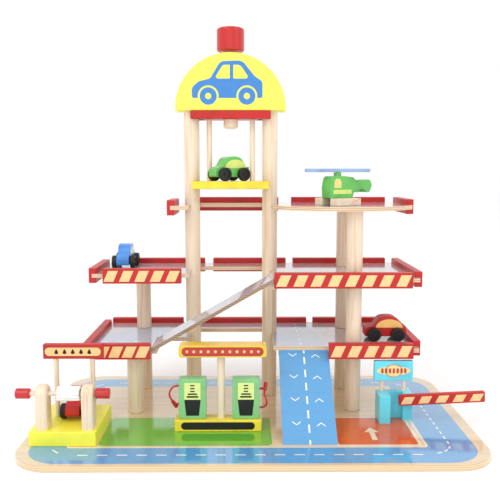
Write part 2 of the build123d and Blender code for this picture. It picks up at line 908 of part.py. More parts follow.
def booth_block():
    """Ticket booth: two side walls and a back wall round a standing place."""
    left, right = booth_x
    low = board_thickness
    outline = from_outline([
        (left, booth_left_front_y),
        (left + booth_left_wall, booth_left_front_y),
        (left + booth_left_wall, booth_back_y - booth_back_wall),
        (right - booth_right_wall, booth_back_y - booth_back_wall),
        (right - booth_right_wall, booth_right_front_y),
        (right, booth_right_front_y),
        (right, booth_back_y),
        (left, booth_back_y),
    ])
    body = plate(outline, Plane.XY.offset(low), booth_height)
    body = fillet(body.edges().filter_by(Axis.Z), booth_round)
    top = body.faces().sort_by(Axis.Z)[-1]
    body = fillet(top.edges(), booth_round / 2)
    for post in sign_posts(seat_clearance):
        body -= post
    return body - barrier_pin(seat_clearance)


def booth_sign():
    z_range = (booth_sign_bottom, booth_sign_bottom + booth_sign_height)
    y_range = (booth_sign_front_y, booth_sign_front_y + booth_sign_thickness)
    board = rounded_block(booth_sign_x, y_range, z_range, sign_round)
    for post in sign_posts(seat_clearance):
        board -= post
    return board


def sign_posts(extra):
    """The five thin posts that carry the three signs, or their bores."""
    posts = []
    for x in wash_sign_post_x:
        z_range = (wash_floor - post_seat_depth, wash_sign_bottom + post_seat_depth)
        posts.append(upright_rod(x, wash_sign_post_y, z_range, wash_sign_post_radius + extra))
    z_range = (petrol_floor - post_seat_depth, petrol_sign_bottom + post_seat_depth)
    posts.append(upright_rod(petrol_post_x, petrol_post_y, z_range, petrol_post_radius + extra))
    for x in booth_post_x:
        z_range = (booth_top - post_seat_depth, booth_sign_bottom + post_seat_depth)
        posts.append(upright_rod(x, booth_post_y, z_range, booth_post_radius + extra))
    return posts


def barrier_faces():
    """Front and back Y of the barrier arm."""
    back = booth_right_front_y - barrier_side_gap
    return (back - barrier_thickness, back)


def barrier_pin(extra):
    """The pin in the booth wall that the barrier turns on."""
    front = barrier_faces()[0] - barrier_pin_proud
    y_range = (front, booth_right_front_y + barrier_pin_depth)
    return rod_along_y(barrier_pivot[0], y_range, barrier_pivot[1], barrier_pin_radius + extra)


def barrier_arm():
    x, z = barrier_pivot
    half = barrier_height / 2
    arm = rounded_block(
        (-barrier_tail, barrier_length - barrier_tail), barrier_faces(), (-half, half), barrier_round
    )
    arm = Pos(x, 0, z) * Rot(0, -barrier_rest_angle, 0) * arm
    return arm - barrier_pin(running_clearance)


# ------------------------------------------------------------------ cars
def car_outline():
    """Side view of a small car, nose towards +X, wheels' floor at Z 0."""
    half = car_length / 2
    sill = car_ground_gap
    nose_top = 0.40 * car_height
    edge = Polyline((-half, sill + 7.0), (-half, sill), (half, sill), (half, nose_top))
    top = Spline(
        (half, nose_top),
        (half - 6.0, 0.56 * car_height),
        (half - 14.0, 0.66 * car_height),
        (half - 20.0, 0.90 * car_height),
        (-3.0, car_height),
        (-half + 13.0, 0.86 * car_height),
        (-half + 3.0, 0.56 * car_height),
        (-half, sill + 7.0),
        tangents=[(0, 1), (0, -1)],
    )
    outline = make_face([edge, top])
    return fillet(outline.vertices().sort_by(Axis.Y)[:2], car_sill_round)


def placed_car(piece, place):
    """A car piece drawn at the origin, set down at its place and heading."""
    _, x, y, floor, heading = place
    return Pos(x, y, floor + wheel_floor_gap) * Rot(0, 0, heading) * piece


def car_body(place):
    plane = Plane((0, car_width / 2, 0), x_dir=(1, 0, 0), z_dir=(0, -1, 0))
    body = plate(car_outline(), plane, car_width)
    sides = body.faces().sort_by(Axis.Y)
    body = fillet(sides[0].edges() + sides[-1].edges(), car_edge_round)
    for x in (-wheel_base / 2, wheel_base / 2):
        y_range = (-car_width, car_width)
        body -= rod_along_y(x, y_range, wheel_radius, axle_radius + running_clearance)
    return placed_car(body, place)


def wheel(x, side):
    """One wheel with a rounded tread, a dished outer face and a raised hub."""
    inner = car_width / 2 + wheel_side_gap
    outer = inner + wheel_width
    y_range = sorted((side * inner, side * outer))
    disc = rod_along_y(x, y_range, wheel_radius, wheel_radius)
    disc = fillet(disc.edges().filter_by(GeomType.CIRCLE), 0.9)
    dish = sorted((side * (outer - wheel_dish_depth), side * (outer + 1)))
    disc -= rod_along_y(x, dish, wheel_radius, wheel_dish_radius)
    hub = sorted((side * (outer - wheel_dish_depth - 0.5), side * (outer - 0.3)))
    disc += rod_along_y(x, hub, wheel_radius, wheel_hub_radius)
    return disc - rod_along_y(x, (-axle_half(), axle_half()), wheel_radius, axle_radius + seat_clearance)


def axle_half():
    """Half the length of an axle, which ends inside the wheel hubs."""
    return car_width / 2 + wheel_side_gap + wheel_width - 2.5


def wheel_pair(place, end):
    """Both wheels and the axle at the rear (-1) or front (1) of a car."""
    x = end * wheel_base / 2
    axle = rod_along_y(x, (-axle_half(), axle_half()), wheel_radius, axle_radius)
    return group([placed_car(piece, place) for piece in (wheel(x, -1), wheel(x, 1), axle)])


# ------------------------------------------------------------------ helicopter
heli_floor = deck_top[2] + heli_floor_gap
heli_belly = heli_floor + heli_skid_height
heli_height = 32.0
heli_nose = 22.0
heli_tail = 62.0


def placed_heli(piece):
    """A helicopter piece drawn with its nose towards -X and its mast at the origin."""
    return Pos(*heli_mast, 0) * Rot(0, 0, heli_heading) * piece


def heli_outline():
    """Cabin and tail fin seen from the side, with an arched notch under the fin."""
    low = heli_belly
    top = heli_belly + heli_height
    corners = [
        (-heli_nose + 1.0, low, 2.0),
        (22.0, low, 2.5),
        (24.5, low + 8.0, 2.0),
        (heli_tail - 5.0, low + 8.0, 4.0),
        (heli_tail, low + 18.0, 6.0),
        (heli_tail - 4.5, top - 5.0, 4.0),
        (32.5, top - 5.8, 3.0),
        (28.5, top - 10.5, 1.5),
        (25.5, top - 2.0, 6.0),
        (5.0, top, 0),
        (-heli_nose + 3.5, top, 7.0),
        (-heli_nose, low + heli_height / 2, 9.0),
    ]
    outline = rounded_outline(corners)
    return outline - Pos(heli_tail - 21.0, low + 4.0) * Circle(heli_notch_radius)


def heli_body():
    """Cabin and tail fin cut from one board."""
    top = heli_belly + heli_height
    plane = Plane((0, heli_width / 2, 0), x_dir=(1, 0, 0), z_dir=(0, -1, 0))
    body = plate(heli_outline(), plane, heli_width)
    sides = body.faces().sort_by(Axis.Y)
    body = fillet(sides[0].edges() + sides[-1].edges(), heli_edge_round)
    body -= upright_rod(0, 0, (top - rotor_pin_depth, top + 1), rotor_pin_radius + running_clearance)
    return placed_heli(body)


def heli_skids():
    """The two plain wooden runners, glued under the edges of the cabin."""
    x_range = (-heli_nose + 0.5, -heli_nose + 0.5 + heli_skid_length)
    runners = []
    for side in (-1, 1):
        y = side * heli_skid_spacing / 2
        y_range = (y - heli_skid_width / 2, y + heli_skid_width / 2)
        runners.append(placed_heli(rounded_block(x_range, y_range, (heli_floor, heli_belly), 0.8)))
    return group(runners)


def heli_hub():
    """The collar on the cabin roof that the rotor turns above."""
    top = heli_belly + heli_height
    hub = upright_rod(0, 0, (top, top + heli_hub_height), heli_hub_radius)
    return placed_heli(hub - upright_rod(0, 0, (top - 1, top + 20), rotor_pin_radius + running_clearance))


def heli_rotor():
    """The rotor bar and the pin that it turns on."""
    low = heli_belly + heli_height + heli_hub_height + rotor_gap
    half = rotor_length / 2 - rotor_width / 2
    bar = block((-half, half), (-rotor_width / 2, rotor_width / 2), (low, low + rotor_thickness))
    for x in (-half, half):
        bar += upright_rod(x, 0, (low, low + rotor_thickness), rotor_width / 2)
    rims = bar.faces().sort_by(Axis.Z)
    bar = fillet(rims[0].edges() + rims[-1].edges(), 1.0)
    pin_bottom = heli_belly + heli_height - rotor_pin_depth + rotor_gap
    bar += upright_rod(0, 0, (pin_bottom, low + 1), rotor_pin_radius)
    return Pos(*heli_mast, 0) * bar


# ------------------------------------------------------------------ all the nodes
def tower_nodes():
    front_y = tower_y - dome_gap_half()
    back_y = tower_y + dome_gap_half()
    return {
        "tower_posts": group([tower_post(-1), tower_post(1)]),
        "dome_front_panel": dome_panel(front_y, -1),
        "dome_back_panel": dome_panel(back_y, 1),
        "bearing_block": bearing_block(),
        "winch_spindle": winch_spindle(),
        "winch_knob": winch_knob(),
        "lift_floor": lift_floor(),
        "lift_bar": lift_bar(),
        "lift_rods": group(lift_rods(0)),
        "cord_plug": cord_plug(),
    }


def building_nodes():
    return {
        "base_board": base_board(),
        "left_columns": group(column_stack(left_front_column, 1) + column_stack(left_rear_column, 2)),
        "right_columns": group(column_stack(right_front_column, 3) + column_stack(right_rear_column, 3)),
        "dowel_pins": group(pin_solids(0)),
        "first_deck": first_deck(),
        "second_deck": second_deck(),
        "third_deck": third_deck(),
        "first_deck_rails": plain_rails(0, deck_left_x),
        "second_deck_rails": plain_rails(1, deck_left_x),
        "third_deck_rails": plain_rails(2, third_deck_left_x),
        "first_deck_striped_rails": striped_rails(0),
        "second_deck_striped_rails": striped_rails(1),
        "side_ramp": side_ramp(),
        "front_ramp": front_ramp(),
        "ramp_blocks": group(side_ramp_blocks() + [front_ramp_block()]),
        "sign_posts": group(sign_posts(0)),
    }


def station_nodes():
    rod = wash_rod()
    left_knob = wash_knob(wash_left_knob_x, rod)
    right_knob = wash_knob(wash_right_knob_x, rod)
    return {
        "wash_plinth": wash_plinth(),
        "wash_uprights": group([wash_upright(wash_left_upright_x), wash_upright(wash_right_upright_x)]),
        "wash_rod": rod,
        "wash_knobs": group([left_knob, right_knob]),
        "wash_brush": wash_brush(),
        "wash_sign": wash_sign(),
        "petrol_plinth": petrol_plinth(),
        "petrol_pumps": group([
            pump(left_pump_x, -1, left_hose_route, left_spout_z),
            pump(right_pump_x, 1, right_hose_route, right_spout_z),
        ]),
        "petrol_sign": petrol_sign(),
        "left_hose": hose(left_hose_route, "left_hose"),
        "right_hose": hose(right_hose_route, "right_hose"),
        "left_nozzle": nozzle(left_hose_route, left_pump_wall, -1, left_spout_z),
        "right_nozzle": nozzle(right_hose_route, right_pump_wall, 1, right_spout_z),
        "booth_block": booth_block(),
        "booth_sign": booth_sign(),
        "barrier_pin": barrier_pin(0),
        "barrier_arm": barrier_arm(),
    }


def vehicle_nodes():
    nodes = {
        "heli_body": heli_body(),
        "heli_skids": heli_skids(),
        "heli_hub": heli_hub(),
        "heli_rotor": heli_rotor(),
    }
    for place in car_places:
        name = place[0]
        nodes[name + "_body"] = car_body(place)
        nodes[name + "_front_wheels"] = wheel_pair(place, 1)
        nodes[name + "_rear_wheels"] = wheel_pair(place, -1)
    return nodes


os.makedirs("parts", exist_ok=True)
for nodes in (building_nodes(), tower_nodes(), station_nodes(), vehicle_nodes()):
    for name, shape in nodes.items():
        export_step(shape, os.path.join("parts", name + ".step"))
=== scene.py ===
# %% [markdown]
# # Toy parking garage with lift
# The real thing is a wooden play set: a printed plywood board, three plywood parking
# decks on round pine columns, a tower with a wound lift, two ramps, a car wash, a petrol
# station, a ticket booth with a barrier, four small cars and a helicopter.
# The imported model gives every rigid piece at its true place, in metres, so this script
# only has to give those pieces their paint, print and grain, and to add what the solids
# leave out: the prints, the folded cloth and the two soft hoses.

# %% Load the frame
import math

import bmesh
import bpy
from mathutils import Matrix, Vector


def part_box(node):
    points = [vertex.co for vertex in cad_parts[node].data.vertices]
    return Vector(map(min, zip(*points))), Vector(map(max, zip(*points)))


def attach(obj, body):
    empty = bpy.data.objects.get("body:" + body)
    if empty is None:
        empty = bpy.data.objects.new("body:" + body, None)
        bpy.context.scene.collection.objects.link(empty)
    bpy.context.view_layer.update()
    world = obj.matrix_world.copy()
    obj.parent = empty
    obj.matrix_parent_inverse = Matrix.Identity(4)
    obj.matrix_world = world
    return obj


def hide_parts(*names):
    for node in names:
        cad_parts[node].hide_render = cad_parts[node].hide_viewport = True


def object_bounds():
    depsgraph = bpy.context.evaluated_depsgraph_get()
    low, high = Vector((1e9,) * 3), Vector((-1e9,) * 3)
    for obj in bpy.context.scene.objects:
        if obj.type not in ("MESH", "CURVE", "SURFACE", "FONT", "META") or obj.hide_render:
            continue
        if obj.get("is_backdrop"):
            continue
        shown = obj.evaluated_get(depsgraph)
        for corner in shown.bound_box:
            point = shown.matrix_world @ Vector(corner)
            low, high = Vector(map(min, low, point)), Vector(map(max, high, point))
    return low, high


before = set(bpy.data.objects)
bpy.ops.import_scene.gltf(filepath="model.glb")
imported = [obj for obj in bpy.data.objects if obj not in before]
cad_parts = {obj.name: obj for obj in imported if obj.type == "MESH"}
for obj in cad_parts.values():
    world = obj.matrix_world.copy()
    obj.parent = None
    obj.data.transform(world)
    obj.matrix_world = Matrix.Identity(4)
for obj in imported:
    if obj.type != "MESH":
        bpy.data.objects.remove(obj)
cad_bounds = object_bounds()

# %% [markdown]
# The pieces were drawn in millimetres, so a short name for a millimetre keeps the sizes
# readable. Decks and floors are read from the frame, so that a print lies on its wood.

# %% Sizes that the prints share
mm = 0.001
print_film = 0.12 * mm


def low(node, axis):
    """Lowest coordinate of a CAD node along X, Y or Z."""
    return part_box(node)[0]["XYZ".index(axis)]


def high(node, axis):
    """Highest coordinate of a CAD node along X, Y or Z."""
    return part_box(node)[1]["XYZ".index(axis)]


board_top = high("base_board", "Z")
first_top = high("first_deck", "Z")
second_top = high("second_deck", "Z")
third_top = high("third_deck", "Z")
print("floors in mm", [round(z / mm, 1) for z in (board_top, first_top, second_top, third_top)])

# %% [markdown]
# Colours are written the way a paint chart gives them, as sRGB hex values, and one
# function turns them to the linear values that the shader wants. One more small function
# adds a node with its settings and its links, so a material reads as a list of steps.

# %% Helpers for materials


def paint_chart(code):
    """A hex colour as linear RGBA."""
    parts = [int(code[i:i + 2], 16) / 255 for i in (1, 3, 5)]
    linear = [c / 12.92 if c <= 0.04045 else ((c + 0.055) / 1.055) ** 2.4 for c in parts]
    return (*linear, 1.0)


def shaded(code, share):
    """A hex colour whose three parts are brought down to a share of what they are."""
    parts = [int(int(code[i:i + 2], 16) * share) for i in (1, 3, 5)]
    return "#{:02X}{:02X}{:02X}".format(*parts)


def add(tree, kind, values=None, links=None, **settings):
    """Adds a node, sets its inputs and properties, and links other nodes' outputs to it."""
    node = tree.nodes.new(kind)
    for name, value in settings.items():
        setattr(node, name, value)
    for name, value in (values or {}).items():
        node.inputs[name].default_value = value
    for name, socket in (links or {}).items():
        tree.links.new(socket, node.inputs[name])
    return node


def new_material(name, **shader_values):
    """A material with a Principled shader whose fixed numbers are set on its own sockets."""
    material = bpy.data.materials.new(name)
    material.use_nodes = True
    tree = material.node_tree
    shader = tree.nodes["Principled BSDF"]
    for socket, value in shader_values.items():
        shader.inputs[socket.replace("_", " ")].default_value = value
    return material, tree, shader


def ramp(tree, factor, stops):
    """A colour ramp from (position, hex colour) stops."""
    node = add(tree, "ShaderNodeValToRGB", links={"Fac": factor})
    elements = node.color_ramp.elements
    while len(elements) < len(stops):
        elements.new(0.5)
    for element, (position, code) in zip(elements, stops):
        element.position = position
        element.color = paint_chart(code)
    return node.outputs["Color"]


print("material helpers ready")

# %% [markdown]
# ## Pine and beech
# The columns, posts and thin rods are turned from pine and lacquered clear. What the eye
# sees is long streaks along the rod, a little darker than the wood, and tiny pores. The
# streaks are noise that is stretched along the grain: about 2 mm wide and 60 mm long.

# %% Lacquered wood
streak_width, streak_length = 2.2 * mm, 60 * mm
ring_width, ring_length = 9 * mm, 220 * mm


def grained_wood(name, pale, streak, along, gloss):
    """Clear lacquered wood whose grain runs along X, Y or Z."""
    material, tree, shader = new_material(
        name, Roughness=gloss, Coat_Weight=0.35, Coat_Roughness=0.12
    )
    where = add(tree, "ShaderNodeTexCoord").outputs["Object"]
    fine, broad = [1 / streak_width] * 3, [1 / ring_width] * 3
    axis = "XYZ".index(along)
    fine[axis], broad[axis] = 1 / streak_length, 1 / ring_length
    fine_map = add(tree, "ShaderNodeMapping", {"Scale": fine}, {"Vector": where})
    broad_map = add(tree, "ShaderNodeMapping", {"Scale": broad}, {"Vector": where})
    streaks = add(
        tree, "ShaderNodeTexNoise",
        {"Scale": 1.0, "Detail": 4.0, "Roughness": 0.6}, {"Vector": fine_map.outputs["Vector"]},
    )
    rings = add(
        tree, "ShaderNodeTexNoise",
        {"Scale": 1.0, "Detail": 2.0, "Distortion": 0.8}, {"Vector": broad_map.outputs["Vector"]},
    )
    mixed = add(
        tree, "ShaderNodeMath", {1: 0.55}, {0: streaks.outputs["Fac"]}, operation="MULTIPLY"
    )
    mixed = add(
        tree, "ShaderNodeMath", {1: 0.45}, {0: rings.outputs["Fac"], 2: mixed.outputs[0]},
        operation="MULTIPLY_ADD",
    )
    colour = ramp(tree, mixed.outputs[0], [(0.36, streak), (0.50, pale), (0.72, pale)])
    tree.links.new(colour, shader.inputs["Base Color"])
    bump = add(
        tree, "ShaderNodeBump", {"Strength": 0.12, "Distance": 0.05 * mm},
        {"Height": streaks.outputs["Fac"]},
    )
    tree.links.new(bump.outputs["Normal"], shader.inputs["Normal"])
    return material


pine_upright = grained_wood("pine_upright", "#EEDBC1", "#DEBD9B", "Z", 0.42)
pine_lengthwise = grained_wood("pine_lengthwise", "#EEDBC1", "#DEBD9B", "X", 0.42)
pine_crosswise = grained_wood("pine_crosswise", "#E9CFAC", "#D6AF86", "Y", 0.42)
print("wood:", pine_upright.name, pine_lengthwise.name, pine_crosswise.name)

# %% [markdown]
# ## Toy paint
# Painted pieces are wood under two coats of water-based enamel. It is even in colour, with
# a soft gloss, slightly darker where the coat is thick and a very fine orange-peel skin.

# %% Enamel paint
cloud_size, peel_size = 28 * mm, 1.1 * mm


def enamel(name, colour, gloss=0.32, coat=0.45, shade=0.90):
    """Even toy paint with a slight cloudiness and an orange-peel skin."""
    material, tree, shader = new_material(
        name, Roughness=gloss, Coat_Weight=coat, Coat_Roughness=0.08
    )
    where = add(tree, "ShaderNodeTexCoord").outputs["Object"]
    cloud = add(
        tree, "ShaderNodeTexNoise", {"Scale": 1 / cloud_size, "Detail": 3.0}, {"Vector": where}
    )
    stops = [(0.30, shaded(colour, shade)), (0.52, colour), (0.80, colour)]
    tone = ramp(tree, cloud.outputs["Fac"], stops)
    tree.links.new(tone, shader.inputs["Base Color"])
    peel = add(
        tree, "ShaderNodeTexNoise", {"Scale": 1 / peel_size, "Detail": 2.0}, {"Vector": where}
    )
    bump = add(
        tree, "ShaderNodeBump", {"Strength": 0.06, "Distance": 0.03 * mm},
        {"Height": peel.outputs["Fac"]},
    )
    tree.links.new(bump.outputs["Normal"], shader.inputs["Normal"])
    return material


rail_red = enamel("rail_red", "#C4120A", gloss=0.45, coat=0.12)
knob_red = enamel("knob_red", "#C40E08", gloss=0.3, coat=0.4)
lemon = enamel("lemon", "#F0EE5C", gloss=0.45, coat=0.2, shade=0.985)
wash_yellow = enamel("wash_yellow", "#FFF94A", gloss=0.45, coat=0.2, shade=0.97)
sun_yellow = enamel("sun_yellow", "#FBE13A")
sign_yellow = enamel("sign_yellow", "#F6C72C")
platform_yellow = enamel("platform_yellow", "#F7DC20")
pump_green = enamel("pump_green", "#86CB80", gloss=0.4)
grass_green = enamel("grass_green", "#64C256", gloss=0.35)
booth_cyan = enamel("booth_cyan", "#66E0F4")
car_blue = enamel("car_blue", "#3F8FE3")
rotor_blue = enamel("rotor_blue", "#93B1D8", gloss=0.45, coat=0.2)
tyre_black = enamel("tyre_black", "#0E0E0E", gloss=0.55, coat=0.08)
print("paints:", [m.name for m in bpy.data.materials if m.users == 0])

# %% [markdown]
# ## Printing ink
# Signs, stripes, roads and windows are screen printed: a flat film of ink, sharp at its
# edge, thinner than paper. Here each print is a real film of that thickness, so its edge
# stays sharp in any view. The ink on the board lies under the same clear lacquer.

# %% Ink
mottle_size, mottle_share = 6 * mm, 0.975


def ink(name, colour, gloss=0.35, coat=0.3):
    """A flat film of screen-printing ink with the least mottling."""
    material, tree, shader = new_material(
        name, Roughness=gloss, Coat_Weight=coat, Coat_Roughness=0.08
    )
    where = add(tree, "ShaderNodeTexCoord").outputs["Object"]
    mottle = add(
        tree, "ShaderNodeTexNoise", {"Scale": 1 / mottle_size, "Detail": 5.0}, {"Vector": where}
    )
    stops = [(0.38, shaded(colour, mottle_share)), (0.58, colour)]
    tone = ramp(tree, mottle.outputs["Fac"], stops)
    tree.links.new(tone, shader.inputs["Base Color"])
    return material


stripe_cream = ink("stripe_cream", "#F9D190")
sign_cream = ink("sign_cream", "#F8E09A")
sign_peach = ink("sign_peach", "#F8C684")
sign_red = ink("sign_red", "#C42812")
ink_black = ink("ink_black", "#0B0C0E", gloss=0.6, coat=0.05)
pale_panel = ink("pale_panel", "#E6F293")
window_orange = ink("window_orange", "#FBC46C")
window_cream = ink("window_cream", "#EFDD84")
window_lime = ink("window_lime", "#DDEB7C")
window_sky = ink("window_sky", "#DCEBF7")
picture_blue = ink("picture_blue", "#3D85CF", gloss=0.45, coat=0.15)
picture_lemon = ink("picture_lemon", "#F0EE5C", gloss=0.45, coat=0.15)
road_blue = ink("road_blue", "#5CA4DA", gloss=0.12, coat=0.9)
road_white = ink("road_white", "#F2F4F4", gloss=0.15, coat=0.8)
lawn_green = ink("lawn_green", "#69BC3C", gloss=0.12, coat=0.9)
yard_orange = ink("yard_orange", "#DC5F1A", gloss=0.2, coat=0.45)
border_cream = ink("border_cream", "#F4E6CF", gloss=0.15, coat=0.8)
ramp_white = ink("ramp_white", "#F4F8FB", gloss=0.3, coat=0.3)
deck_road = ink("deck_road", "#AFBCD8", gloss=0.14, coat=0.8)
print("inks:", len([m for m in bpy.data.materials if m.users == 0]))

# %% [markdown]
# ## Printed plywood
# Board and decks are thin plywood, glossy on top. The sides show the plies: pale and brown
# lines about 1.3 mm apart. The shader tells top from side by the normal, so one material
# covers the whole deck: the upper face takes the print, the sides take the plies.

# %% Plywood with a printed face
ply_thickness = 1.3 * mm
grain_length, grain_width = 90 * mm, 5 * mm


def ply_lines(tree, where, pale, brown):
    """Pale and brown lines that take turns up the side of a plywood sheet."""
    height = add(tree, "ShaderNodeSeparateXYZ", links={"Vector": where}).outputs["Z"]
    wave = add(
        tree, "ShaderNodeMath", {1: math.pi / ply_thickness}, {0: height}, operation="MULTIPLY"
    )
    wave = add(tree, "ShaderNodeMath", links={0: wave.outputs[0]}, operation="SINE")
    plies = add(
        tree, "ShaderNodeMapRange", {"From Min": -1.0, "From Max": 1.0}, {"Value": wave.outputs[0]}
    )
    return ramp(tree, plies.outputs["Result"], [(0.15, brown), (0.65, pale)])


def printed_plywood(name, face, pale, brown, gloss, face_noise=0.95):
    """Plywood with plies on its sides and a print, or bare veneer, on its upper face."""
    material, tree, shader = new_material(
        name, Roughness=gloss, Coat_Weight=0.8, Coat_Roughness=0.04
    )
    where = add(tree, "ShaderNodeTexCoord").outputs["Object"]
    sides = ply_lines(tree, where, pale, brown)
    stretch = (1 / grain_length, 1 / grain_width, 1 / grain_width)
    stretched = add(tree, "ShaderNodeMapping", {"Scale": stretch}, {"Vector": where})
    grain = add(
        tree, "ShaderNodeTexNoise", {"Scale": 1.0, "Detail": 5.0, "Distortion": 0.4},
        {"Vector": stretched.outputs["Vector"]},
    )
    stops = [(0.35, shaded(face, face_noise)), (0.62, face)]
    upper = ramp(tree, grain.outputs["Fac"], stops)
    facing = add(tree, "ShaderNodeNewGeometry").outputs["Normal"]
    upwards = add(tree, "ShaderNodeSeparateXYZ", links={"Vector": facing}).outputs["Z"]
    is_top = add(tree, "ShaderNodeMath", {1: 0.7}, {0: upwards}, operation="GREATER_THAN")
    mixed = add(
        tree, "ShaderNodeMix", links={0: is_top.outputs[0], 6: sides, 7: upper}, data_type="RGBA"
    )
    tree.links.new(mixed.outputs[2], shader.inputs["Base Color"])
    bump = add(
        tree, "ShaderNodeBump", {"Strength": 0.015, "Distance": 0.03 * mm},
        {"Height": grain.outputs["Fac"]},
    )
    tree.links.new(bump.outputs["Normal"], shader.inputs["Normal"])
    return material


board_ply = printed_plywood("board_ply", "#E9D2AE", "#EFD8B2", "#D3AE80", 0.18)
deck_ply = printed_plywood("deck_ply", "#CBC2CA", "#E6CBA8", "#C8A079", 0.16)
side_ramp_ply = printed_plywood("side_ramp_ply", "#BDBBC9", "#A98A6A", "#7C6048", 0.25)
front_ramp_ply = printed_plywood(
    "front_ramp_ply", "#5AA3DA", "#DDBE8E", "#B78B5A", 0.3, face_noise=0.985
)
print("plywood:", board_ply.name, deck_ply.name, side_ramp_ply.name, front_ramp_ply.name)

# %% [markdown]
# ## Finishes on the frame's own pieces
# The frame's solids already have the true shape, so each only takes its finish. A short
# list says which finish belongs to which nodes.

# %% Dress the frame
finish_of = {
    board_ply: ["base_board"],
    deck_ply: ["first_deck", "second_deck", "third_deck"],
    side_ramp_ply: ["side_ramp"],
    front_ramp_ply: ["front_ramp"],
    pine_upright: [
        "left_columns", "right_columns", "tower_posts", "lift_rods", "cord_plug", "sign_posts",
        "winch_spindle", "bearing_block", "dowel_pins", "wash_uprights",
    ],
    pine_lengthwise: ["wash_rod", "ramp_blocks", "heli_skids"],
    pine_crosswise: ["barrier_pin"],
    rail_red: [
        "first_deck_rails", "second_deck_rails", "third_deck_rails", "first_deck_striped_rails",
        "second_deck_striped_rails", "lift_bar", "wash_sign", "barrier_arm", "left_nozzle",
        "right_nozzle", "red_car_body", "wash_car_body",
    ],
    knob_red: ["winch_knob", "wash_knobs"],
    lemon: ["dome_front_panel", "dome_back_panel"],
    wash_yellow: ["wash_plinth"],
    sun_yellow: ["petrol_plinth"],
    sign_yellow: ["petrol_sign"],
    platform_yellow: ["lift_floor"],
    pump_green: ["petrol_pumps"],
    grass_green: ["green_car_body", "heli_body", "heli_hub"],
    booth_cyan: ["booth_block", "booth_sign"],
    car_blue: ["blue_car_body"],
    rotor_blue: ["heli_rotor"],
    tyre_black: [
        name + axle for name in ("red_car", "blue_car", "wash_car", "green_car")
        for axle in ("_front_wheels", "_rear_wheels")
    ],
}
for material, nodes in finish_of.items():
    for node in nodes:
        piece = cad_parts[node]
        piece.data.materials.clear()
        piece.data.materials.append(material)
print("dressed", sum(len(nodes) for nodes in finish_of.values()), "nodes")

# %% [markdown]
# ## Flat prints
# Most prints are made the same way: a plane at its size, its corners rounded in edit mode,
# then extruded into a film of ink. A helper does those steps and hands back the piece.

# %% Helpers for prints


def settle(piece, name, material, body):
    """Names a finished piece, moves its place into its mesh, and lets it ride on a body."""
    piece.name = name
    piece.data.name = name
    bpy.ops.object.select_all(action="DESELECT")
    piece.select_set(True)
    bpy.context.view_layer.objects.active = piece
    bpy.ops.object.transform_apply(location=True, rotation=True, scale=True)
    piece.data.materials.clear()
    piece.data.materials.append(material)
    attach(piece, body)
    return piece


def plane_at(size_x, size_y):
    """A plane of that size at the origin, alone selected."""
    bpy.ops.object.select_all(action="DESELECT")
    bpy.ops.mesh.primitive_plane_add(size=1.0)
    piece = bpy.context.object
    piece.scale = (size_x, size_y, 1.0)
    bpy.ops.object.transform_apply(location=False, rotation=False, scale=True)
    return piece


def thicken(film):
    """Extrudes the whole flat mesh upwards into a film, in edit mode."""
    bpy.ops.mesh.select_all(action="SELECT")
    bpy.ops.mesh.extrude_region_move(TRANSFORM_OT_translate={"value": (0, 0, film)})
    bpy.ops.mesh.select_all(action="SELECT")
    bpy.ops.mesh.normals_make_consistent(inside=False)


def rounded_film(size_x, size_y, radius=0.0, film=print_film):
    """A flat film with rounded corners, lying at the origin."""
    piece = plane_at(size_x, size_y)
    bpy.ops.object.mode_set(mode="EDIT")
    bpy.ops.mesh.select_all(action="SELECT")
    if radius:
        bpy.ops.mesh.bevel(offset=radius, segments=10, affect="VERTICES")
        bpy.ops.mesh.select_all(action="SELECT")
        bpy.ops.mesh.remove_doubles(threshold=1e-6)
    thicken(film)
    bpy.ops.object.mode_set(mode="OBJECT")
    return piece


def lay_flat(piece, x, y, z, turn=0.0):
    """Puts a film face up on a floor, turned about the upright axis."""
    piece.matrix_world = Matrix.Translation((x, y, z)) @ Matrix.Rotation(math.radians(turn), 4, "Z")
    return piece


print("print helpers ready, film", print_film / mm, "mm")

# %% [markdown]
# ## The board's print
# A blue road runs round the board with a white dashed centre line. Inside it lie a lawn
# where the petrol station stands and an orange yard behind the barrier. The road is a ring:
# a wide rounded film with the inner island taken out by a boolean.

# %% The road ring
road_outer = (-284 * mm, 284 * mm, -169 * mm, 156 * mm)
road_inner = (-236 * mm, 221 * mm, -121 * mm, 116 * mm)


def rounded_field(x0, x1, y0, y1, radius, film=print_film, z=board_top):
    """A rounded film that fills a field on a floor."""
    piece = rounded_film(x1 - x0, y1 - y0, radius, film=film)
    return lay_flat(piece, (x0 + x1) / 2, (y0 + y1) / 2, z)


def cut_out(piece, cutter):
    """Takes the cutter's shape out of a piece and removes the cutter."""
    bpy.ops.object.select_all(action="DESELECT")
    piece.select_set(True)
    bpy.context.view_layer.objects.active = piece
    modifier = piece.modifiers.new("island", "BOOLEAN")
    modifier.operation = "DIFFERENCE"
    modifier.solver = "EXACT"
    modifier.object = cutter
    bpy.ops.object.modifier_apply(modifier=modifier.name)
    bpy.data.objects.remove(cutter)
    return piece


def grown(field, margin):
    """A field with a margin added on all four sides."""
    return [value + side * margin for value, side in zip(field, (-1, 1, -1, 1))]


def ring_print(name, outer, outer_radius, inner, inner_radius, material, lift=0.0):
    """A flat ring between two rounded fields on the board."""
    ring = rounded_field(*outer, outer_radius, z=board_top + lift)
    hole = rounded_field(*inner, inner_radius, film=4 * print_film, z=board_top - print_film)
    return settle(cut_out(ring, hole), name, material, "garage")


road = ring_print("road_print", road_outer, 46 * mm, road_inner, 4 * mm, road_blue)
border_outer = grown(road_inner, 2.6 * mm)
border = ring_print(
    "road_border", border_outer, 6 * mm, road_inner, 4 * mm, border_cream, lift=0.04 * mm
)
print("road faces", len(road.data.polygons), "border faces", len(border.data.polygons))

